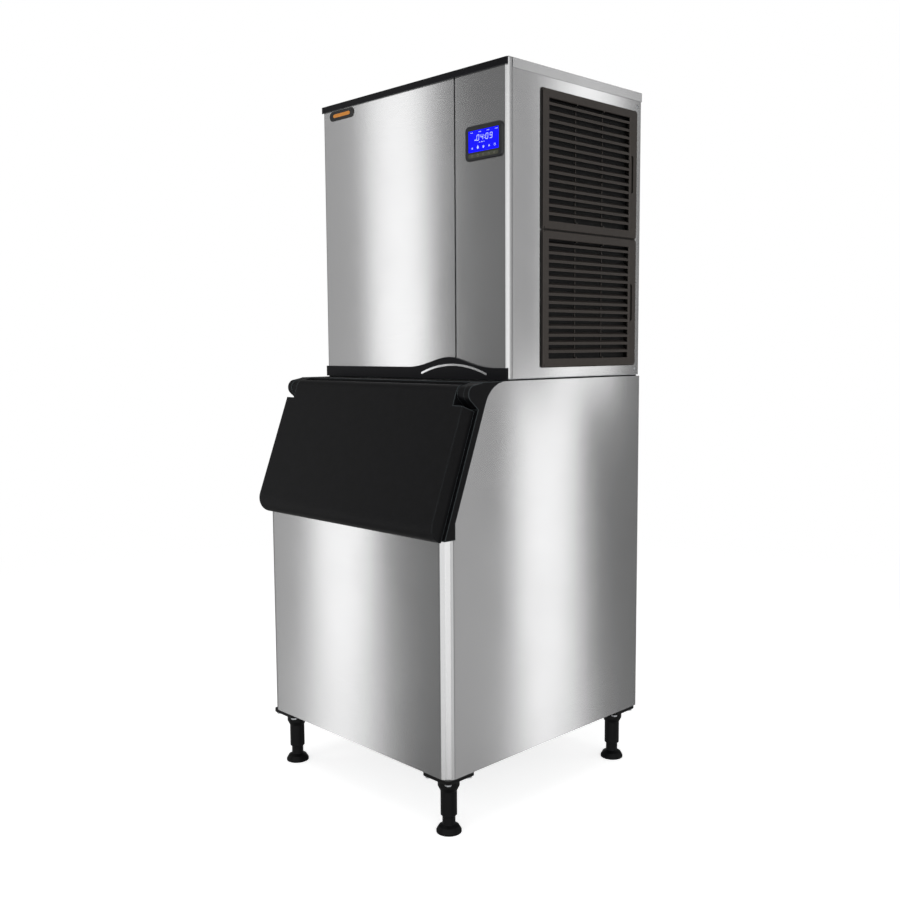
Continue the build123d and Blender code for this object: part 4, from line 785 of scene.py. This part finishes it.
# %% [markdown]
# ## Coil fins and bends
# The condenser is a stack of thin aluminium fins on copper tubes, which turn back at both ends
# in short U-bends. The CAD gives the block, its end plates and the two tube ends. Here the fin
# edges stand out on the face that the air enters, 3 mm apart instead of the real 2 mm, and the
# bends are swept tubes. A bend is a route with two square corners, rounded by one function.

# %% Routes with rounded corners
CORNER_STEPS = 5


def rounded_route(corners, radius):
    """Points of a route of straight runs whose square corners are rounded."""
    corners = [Vector(corner) for corner in corners]
    route = [corners[0]]
    for before, corner, after in zip(corners, corners[1:], corners[2:]):
        inward = (corner - before).normalized() * radius
        onward = (after - corner).normalized() * radius
        for step in range(CORNER_STEPS + 1):
            turn = math.pi / 2 * step / CORNER_STEPS
            shift = onward * (1 - math.cos(turn)) - inward * (1 - math.sin(turn))
            route.append(corner + shift)
    return route + [corners[-1]]


print("a corner gets", CORNER_STEPS + 1, "points")

# %% Condenser fins
FIN_PITCH = 3.0 * MM
FIN_THICK = 0.35 * MM
FIN_PROUD = 1.2 * MM
shroud_low, shroud_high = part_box("fan_shroud")
coil_low, coil_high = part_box("condenser")
coil_ends = (shroud_low[1], shroud_high[1])
coil_span = (shroud_low[2], shroud_high[2])
fins = bmesh.new()
fin_count = int((coil_ends[1] - coil_ends[0]) / FIN_PITCH)
for number in range(fin_count):
    fin_y = coil_ends[0] + (number + 0.5) * FIN_PITCH
    low = (coil_high[0], fin_y - FIN_THICK / 2, coil_span[0])
    high = (coil_high[0] + FIN_PROUD, fin_y + FIN_THICK / 2, coil_span[1])
    add_plate(fins, low, high)
finish_piece("condenser_fins", fins, aluminium, "cabinet")
print("made", fin_count, "fin edges")

# %% Condenser bends
COIL_TUBE = 4.8 * MM
COIL_PITCH = 25.0 * MM
COIL_ROW_OFFSET = 12.5 * MM
BEND_REACH = 14.0 * MM
END_PLATE = 2.0 * MM
TUBE_SIDES = 10
coil_middle = (coil_low[0] + coil_high[0]) / 2
tube_count = int((coil_span[1] - coil_span[0]) / COIL_PITCH)
first_z = (coil_span[0] + coil_span[1] - (tube_count - 1) * COIL_PITCH) / 2
bends = bmesh.new()
for start, face, way in ((0, coil_ends[0] - END_PLATE, -1), (1, coil_ends[1] + END_PLATE, 1)):
    for number in range(start, tube_count - 1, 2):
        z = first_z + number * COIL_PITCH
        for x in (coil_middle - COIL_ROW_OFFSET, coil_middle + COIL_ROW_OFFSET):
            out = face + way * BEND_REACH
            top = z + COIL_PITCH
            corners = [(x, face, z), (x, out, z), (x, out, top), (x, face, top)]
            add_tube(bends, rounded_route(corners, COIL_PITCH / 2), COIL_TUBE, TUBE_SIDES)
finish_piece("condenser_bends", bends, copper, "cabinet", smooth=True)
print("made bends for", tube_count, "rows of tubes")

# %% [markdown]
# ## Cooling coil behind the ice plate
# The refrigerant boils in a flat copper coil that is soldered to the back of the ice plate. It
# starts at the liquid line's stub, fills the rows above it, drops down the left edge twice, and
# ends at the suction line's stub, so that no two runs cross. A loop gives all the corners.

# %% Ice plate coil
ROW_PITCH = 28.7 * MM
PLATE_TUBE = 4.5 * MM
PLATE_DEPTH = 25.0 * MM
LIQUID_FROM_RIGHT = 60.0 * MM
LIQUID_BELOW_TOP = 123.0 * MM
SUCTION_FROM_RIGHT = 30.0 * MM
ROUTE_SIDE = 18.0 * MM
ROWS_ABOVE = 2
ROWS_TO_SUCTION = 5
ROWS_BELOW = 2
plate_low, plate_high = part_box("evaporator")
coil_y = plate_low[1] + PLATE_DEPTH + PLATE_TUBE
liquid_z = plate_high[2] - LIQUID_BELOW_TOP
right_x = plate_high[0] - ROUTE_SIDE
left_x = plate_low[0] + 2 * ROUTE_SIDE
riser_x = plate_low[0] + ROUTE_SIDE
rows = list(range(1, ROWS_ABOVE + 1))
rows += [-step for step in range(1, ROWS_TO_SUCTION)]
rows += [-step for step in range(ROWS_TO_SUCTION + ROWS_BELOW, ROWS_TO_SUCTION - 1, -1)]
corners = [(plate_high[0] - LIQUID_FROM_RIGHT, coil_y, liquid_z), (left_x, coil_y, liquid_z)]
side = left_x
last = 0
for row in rows:
    z = liquid_z + row * ROW_PITCH
    if abs(row - last) > 1:
        corners[-1] = (riser_x, coil_y, liquid_z + last * ROW_PITCH)
        side = riser_x
    corners.append((side, coil_y, z))
    side = left_x if side == right_x else right_x
    corners.append((side, coil_y, z))
    last = row
corners[-1] = (plate_high[0] - SUCTION_FROM_RIGHT, coil_y, corners[-1][2])
plate_coil = bmesh.new()
add_tube(plate_coil, rounded_route(corners, ROW_PITCH / 2), PLATE_TUBE, TUBE_SIDES)
finish_piece("ice_plate_coil", plate_coil, copper, "cabinet", smooth=True)
print("the coil has", len(rows) + 1, "rows")

# %% [markdown]
# ## Compressor seam and cover
# The can is two drawn steel halves welded round the middle, so a seam bead runs round it. A
# moulded cover shields the electric terminals at its side. Both come as swept and raised shapes.

# %% Compressor details
CAN_RADIUS = 82.0 * MM
SEAM_RADIUS = 2.0 * MM
SEAM_SHARE = 0.48
COVER_SIZE = (58.0 * MM, 76.0 * MM)
COVER_DEPTH = 24.0 * MM
COVER_CORNER = 9.0 * MM
SEAM_STEPS = 60
can_low, can_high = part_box("compressor")
can_x = (can_low[0] + can_high[0]) / 2
can_y = (can_low[1] + can_high[1]) / 2
seam_z = can_low[2] + SEAM_SHARE * (can_high[2] - can_low[2])
seam = bmesh.new()
seam_end = 360 - 360 / SEAM_STEPS
seam_circle = arc_points((can_x, can_y), CAN_RADIUS, 0, seam_end, SEAM_STEPS - 1)
ring = [(x, y, seam_z) for x, y in seam_circle]
add_tube(seam, ring, SEAM_RADIUS, 8, closed=True)
finish_piece("compressor_seam", seam, black_enamel, "cabinet", smooth=True)


def rounded_rectangle(centre, size, corner):
    """Outline of a rectangle with rounded corners."""
    outline = []
    for quarter, (way_x, way_y) in enumerate(((1, 1), (-1, 1), (-1, -1), (1, -1))):
        middle_x = centre[0] + way_x * (size[0] / 2 - corner)
        middle_y = centre[1] + way_y * (size[1] / 2 - corner)
        outline += arc_points((middle_x, middle_y), corner, 90 * quarter, 90 * quarter + 90, 5)
    return outline


cover = bmesh.new()
cover_front = can_y - CAN_RADIUS - COVER_DEPTH / 2
cover_outline = rounded_rectangle((can_x, seam_z), COVER_SIZE, COVER_CORNER)
add_prism(cover, cover_outline, 1, cover_front, cover_front + COVER_DEPTH)
finish_piece("terminal_cover", cover, black_nylon, "cabinet", bevel_mm=2.0)
print("the seam is at", round(seam_z / MM), "mm")

# %% [markdown]
# ## Screws with cross recesses
# The sheets are held by pan-head screws. In the CAD they are plain discs, too plain for a close
# look. Each head here is turned as a low dome on a fine polar grid, and the points that lie in
# the cross are sunk, so the recess is real. The new screws stand in for the CAD ones.

# %% Screw heads
SCREW_RADIUS = 4.5 * MM
SCREW_HIGH = 2.0 * MM
SCREW_INSET = 16.0 * MM
CROSS_ARM = 2.5 * MM
CROSS_HALF = 0.5 * MM
CROSS_DEPTH = 1.3 * MM
CROSS_TAPER = 0.7
DOME_RINGS = 12
DOME_SEGMENTS = 48
DOME_EDGE = 0.35
DOME_SHARE = 0.98


def head_height(u, v):
    """Height of the head's face at a place measured from its middle."""
    share = min(1.0, math.hypot(u, v) / SCREW_RADIUS)
    dome = math.sqrt(1 - share ** 2 * DOME_SHARE)
    height = SCREW_HIGH * (DOME_EDGE + (1 - DOME_EDGE) * dome)
    reach, off = max(abs(u), abs(v)), min(abs(u), abs(v))
    sunk = reach < CROSS_ARM and off < CROSS_HALF
    return height - (CROSS_DEPTH * (1 - CROSS_TAPER * reach / CROSS_ARM) if sunk else 0.0)


def add_screw(mesh, seat, outward):
    """Add one screw head on a seat, facing outward."""
    normal = Vector(outward)
    across = Vector((0, 0, 1))
    along = across.cross(normal)
    tip = mesh.verts.new(Vector(seat) + normal * head_height(0, 0))
    rings = []
    for number in range(1, DOME_RINGS + 1):
        radius = SCREW_RADIUS * number / DOME_RINGS
        last_turn = 360 - 360 / DOME_SEGMENTS
        points = arc_points((0, 0), radius, 0, last_turn, DOME_SEGMENTS - 1)
        rings.append([
            mesh.verts.new(Vector(seat) + along * u + across * v + normal * head_height(u, v))
            for u, v in points
        ])
    foot = [mesh.verts.new(vert.co - normal * head_height(SCREW_RADIUS, 0)) for vert in rings[-1]]
    rings.append(foot)
    for step in range(DOME_SEGMENTS):
        following = (step + 1) % DOME_SEGMENTS
        mesh.faces.new((tip, rings[0][step], rings[0][following]))
        for one, two in zip(rings, rings[1:]):
            mesh.faces.new((one[step], two[step], two[following], one[following]))
    mesh.faces.new(foot[::-1])


old_low, old_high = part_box("panel_screws")
back_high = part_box("head_back_panel")[1]
side_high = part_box("head_right_panel")[1]
screws = bmesh.new()
for z in (old_low[2] + SCREW_RADIUS, old_high[2] - SCREW_RADIUS):
    for way in (-1, 1):
        add_screw(screws, (way * side_high[0], old_low[1] + SCREW_RADIUS, z), (way, 0, 0))
        back_seat = (way * (back_high[0] - SCREW_INSET), old_high[1] - SCREW_HIGH, z)
        add_screw(screws, back_seat, (0, 1, 0))
new_screws = finish_piece("panel_screw_heads", screws, zinc_plate, "cabinet")
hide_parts("panel_screws")
print("made 8 screw heads")

# %% [markdown]
# ## Floor and backdrop
# The floor is plain and pale. It is a large matte disc that fades to white with distance, and a
# white wall stands round it, so no horizon shows. Neither appears in the steel: a photographer
# would flag them out, and here the objects are simply hidden from reflections.

# %% Stage
FLOOR_RADIUS = 24.0
WALL_HEIGHT = 24.0
FADE_FROM = 1.0
FADE_TO = 4.0
FLOOR_GLOW = 0.7
ROUND_STEPS = 96
WALL_SHARE = 0.98
WALL_SUNK = 1.0


def stage_floor():
    """Pale floor that fades to white far from the machine."""
    finish, tree, shader = new_finish(
        "floor_matte_white",
        {"Roughness": 0.9, "Base Color": linear("#f4f4f4"), "Emission Strength": FLOOR_GLOW,
         "Emission Color": linear("#ffffff")},
    )
    place = add_node(tree, "ShaderNodeTexCoord")
    distance = add_node(
        tree, "ShaderNodeVectorMath", {"operation": "LENGTH"}, {0: place.outputs["Object"]},
    )
    fade = add_node(
        tree, "ShaderNodeMapRange", {"From Min": FADE_FROM, "From Max": FADE_TO},
        {"Value": distance.outputs["Value"]},
    )
    glow = add_node(tree, "ShaderNodeEmission", {"Strength": 1.0, "Color": linear("#ffffff")})
    blend = add_node(
        tree, "ShaderNodeMixShader",
        wires={0: fade.outputs[0], 1: shader.outputs[0], 2: glow.outputs[0]},
    )
    tree.links.new(blend.outputs[0], tree.nodes["Material Output"].inputs["Surface"])
    return finish


def stage_wall():
    """Evenly lit white wall."""
    finish = bpy.data.materials.new("wall_white_lit")
    finish.use_nodes = True
    tree = finish.node_tree
    glow = add_node(tree, "ShaderNodeEmission", {"Strength": 1.0, "Color": linear("#ffffff")})
    tree.links.new(glow.outputs[0], tree.nodes["Material Output"].inputs["Surface"])
    return finish


def add_stage(name, mesh, finish, lights_up):
    """Put a stage object in the scene, out of sight of the steel."""
    data = bpy.data.meshes.new(name)
    mesh.to_mesh(data)
    mesh.free()
    piece = bpy.data.objects.new(name, data)
    bpy.context.scene.collection.objects.link(piece)
    data.materials.append(finish)
    piece.visible_glossy = False
    piece.visible_diffuse = False
    piece.visible_shadow = lights_up
    return piece


disc = bmesh.new()
bmesh.ops.create_circle(disc, cap_ends=True, radius=FLOOR_RADIUS, segments=ROUND_STEPS)
add_stage("floor", disc, stage_floor(), True)
wall_radius = FLOOR_RADIUS * WALL_SHARE
wall_middle = Matrix.Translation((0, 0, WALL_HEIGHT / 2 - WALL_SUNK))
wall = bmesh.new()
bmesh.ops.create_cone(
    wall, cap_ends=False, radius1=wall_radius, radius2=wall_radius, depth=WALL_HEIGHT,
    segments=ROUND_STEPS, matrix=wall_middle,
)
add_stage("backdrop", wall, stage_wall(), False)
print("floor radius", FLOOR_RADIUS, "m")

# %% [markdown]
# ## Studio light
# A flat sheet of steel shows only what stands opposite it, so its bands are placed rather than
# painted. Seen from the camera, the front sheets mirror the front left of the studio, and the
# side sheets mirror the back right. A bright upright strip stands at each of the two places,
# with a dimmer wide panel on its outer side, and nothing on its inner side, which stays dark.

# %% World and lamps
SKY_STRENGTH = 0.22
world = bpy.data.worlds.new("studio")
bpy.context.scene.world = world
world.use_nodes = True
sky = world.node_tree.nodes["Background"]
sky.inputs["Color"].default_value = linear("#ffffff")
sky.inputs["Strength"].default_value = SKY_STRENGTH
bpy.context.scene.view_settings.view_transform = "Standard"


def panel_lamp(name, place, size, radiance, aim):
    """Flat lamp at a place, turned to a point, with the brightness that its face shows."""
    lamp = bpy.data.lights.new(name, "AREA")
    lamp.shape = "RECTANGLE"
    lamp.size, lamp.size_y = size
    lamp.energy = radiance * math.pi * size[0] * size[1]
    holder = bpy.data.objects.new(name, lamp)
    bpy.context.scene.collection.objects.link(holder)
    holder.location = place
    toward = Vector(aim) - Vector(place)
    holder.rotation_euler = toward.to_track_quat("-Z", "Y").to_euler()


print("the sky adds", SKY_STRENGTH)

# %% [markdown]
# Each upright lamp below has its place, its width, how bright its face is, the point that it
# faces, and its lowest and highest edge. The lamps at the back right change at the height of
# the seam between bin and head, so that each of the two sides gets a band of its own.

# %% Lamp table
FOOT, SEAM, CROWN = -1.7, 1.0, 3.5
TALL_LAMPS = {
    "strip_front_left": ((-2.45, -2.28), 0.36, 1.55, (0.0, -0.3), FOOT, CROWN),
    "panel_front_left": ((-3.05, -1.62), 1.3, 0.3, (0.0, -0.3), FOOT, CROWN),
    "strip_rear_right_low": ((2.33, 2.28), 0.36, 1.55, (0.38, 0.0), FOOT, SEAM),
    "strip_rear_right_high": ((2.33, 2.62), 0.36, 1.55, (0.38, 0.1), SEAM, CROWN),
    "panel_rear_right_low": ((2.85, 1.5), 1.2, 0.3, (0.38, 0.0), FOOT, SEAM),
    "panel_rear_right_high": ((2.95, 1.7), 1.5, 0.3, (0.38, 0.0), SEAM, CROWN),
    "strip_rear_left": ((-2.4, 2.4), 0.8, 0.7, (0.0, 0.0), FOOT, CROWN),
    "box_front": ((0.5, -4.3), 4.2, 1.0, (0.5, 0.0), FOOT, CROWN),
    "box_near_camera": ((3.6, -2.7), 3.8, 1.15, (0.0, 0.0), FOOT, CROWN),
    "box_right": ((4.3, 0.0), 2.0, 0.7, (0.0, 0.0), FOOT, CROWN),
}
for name, (place, width, radiance, toward, low, high) in TALL_LAMPS.items():
    middle = (low + high) / 2
    panel_lamp(name, (*place, middle), (width, high - low), radiance, (*toward, middle))
OVERHEAD_AT = (0.0, -0.4, 4.6)
OVERHEAD_SIZE = (4.2, 4.2)
OVERHEAD_RADIANCE = 0.75
panel_lamp("overhead", OVERHEAD_AT, OVERHEAD_SIZE, OVERHEAD_RADIANCE, (0, 0, 0))
print("placed", len(TALL_LAMPS) + 1, "lamps")

# %% [markdown]
# ## Camera
# The picture is taken from the front right, at about chest height, tipped slightly down. The
# place comes from matching the machine's corners, and the lens follows from its perspective.

# %% Camera
CAMERA_AT = Vector((2.1531, -2.0921, 1.2427))
CAMERA_TURN = 45.862
CAMERA_DOWN = 5.747
CAMERA_ROLL = -0.39
IMAGE_PIXELS = 900
FOCAL_PIXELS = 1023.8
SENSOR_MM = 36.0

view = bpy.data.cameras.new("camera")
view.sensor_width = SENSOR_MM
view.lens = FOCAL_PIXELS / IMAGE_PIXELS * SENSOR_MM
camera = bpy.data.objects.new("camera", view)
bpy.context.scene.collection.objects.link(camera)
turn, down = math.radians(CAMERA_TURN), math.radians(CAMERA_DOWN)
ahead = Vector((-math.sin(turn) * math.cos(down), math.cos(turn) * math.cos(down), -math.sin(down)))
aim = ahead.to_track_quat("-Z", "Y") @ Quaternion((0, 0, 1), math.radians(CAMERA_ROLL))
camera.location = CAMERA_AT
camera.rotation_mode = "QUATERNION"
camera.rotation_quaternion = aim
bpy.context.scene.camera = camera
print("lens", round(view.lens, 2), "mm")
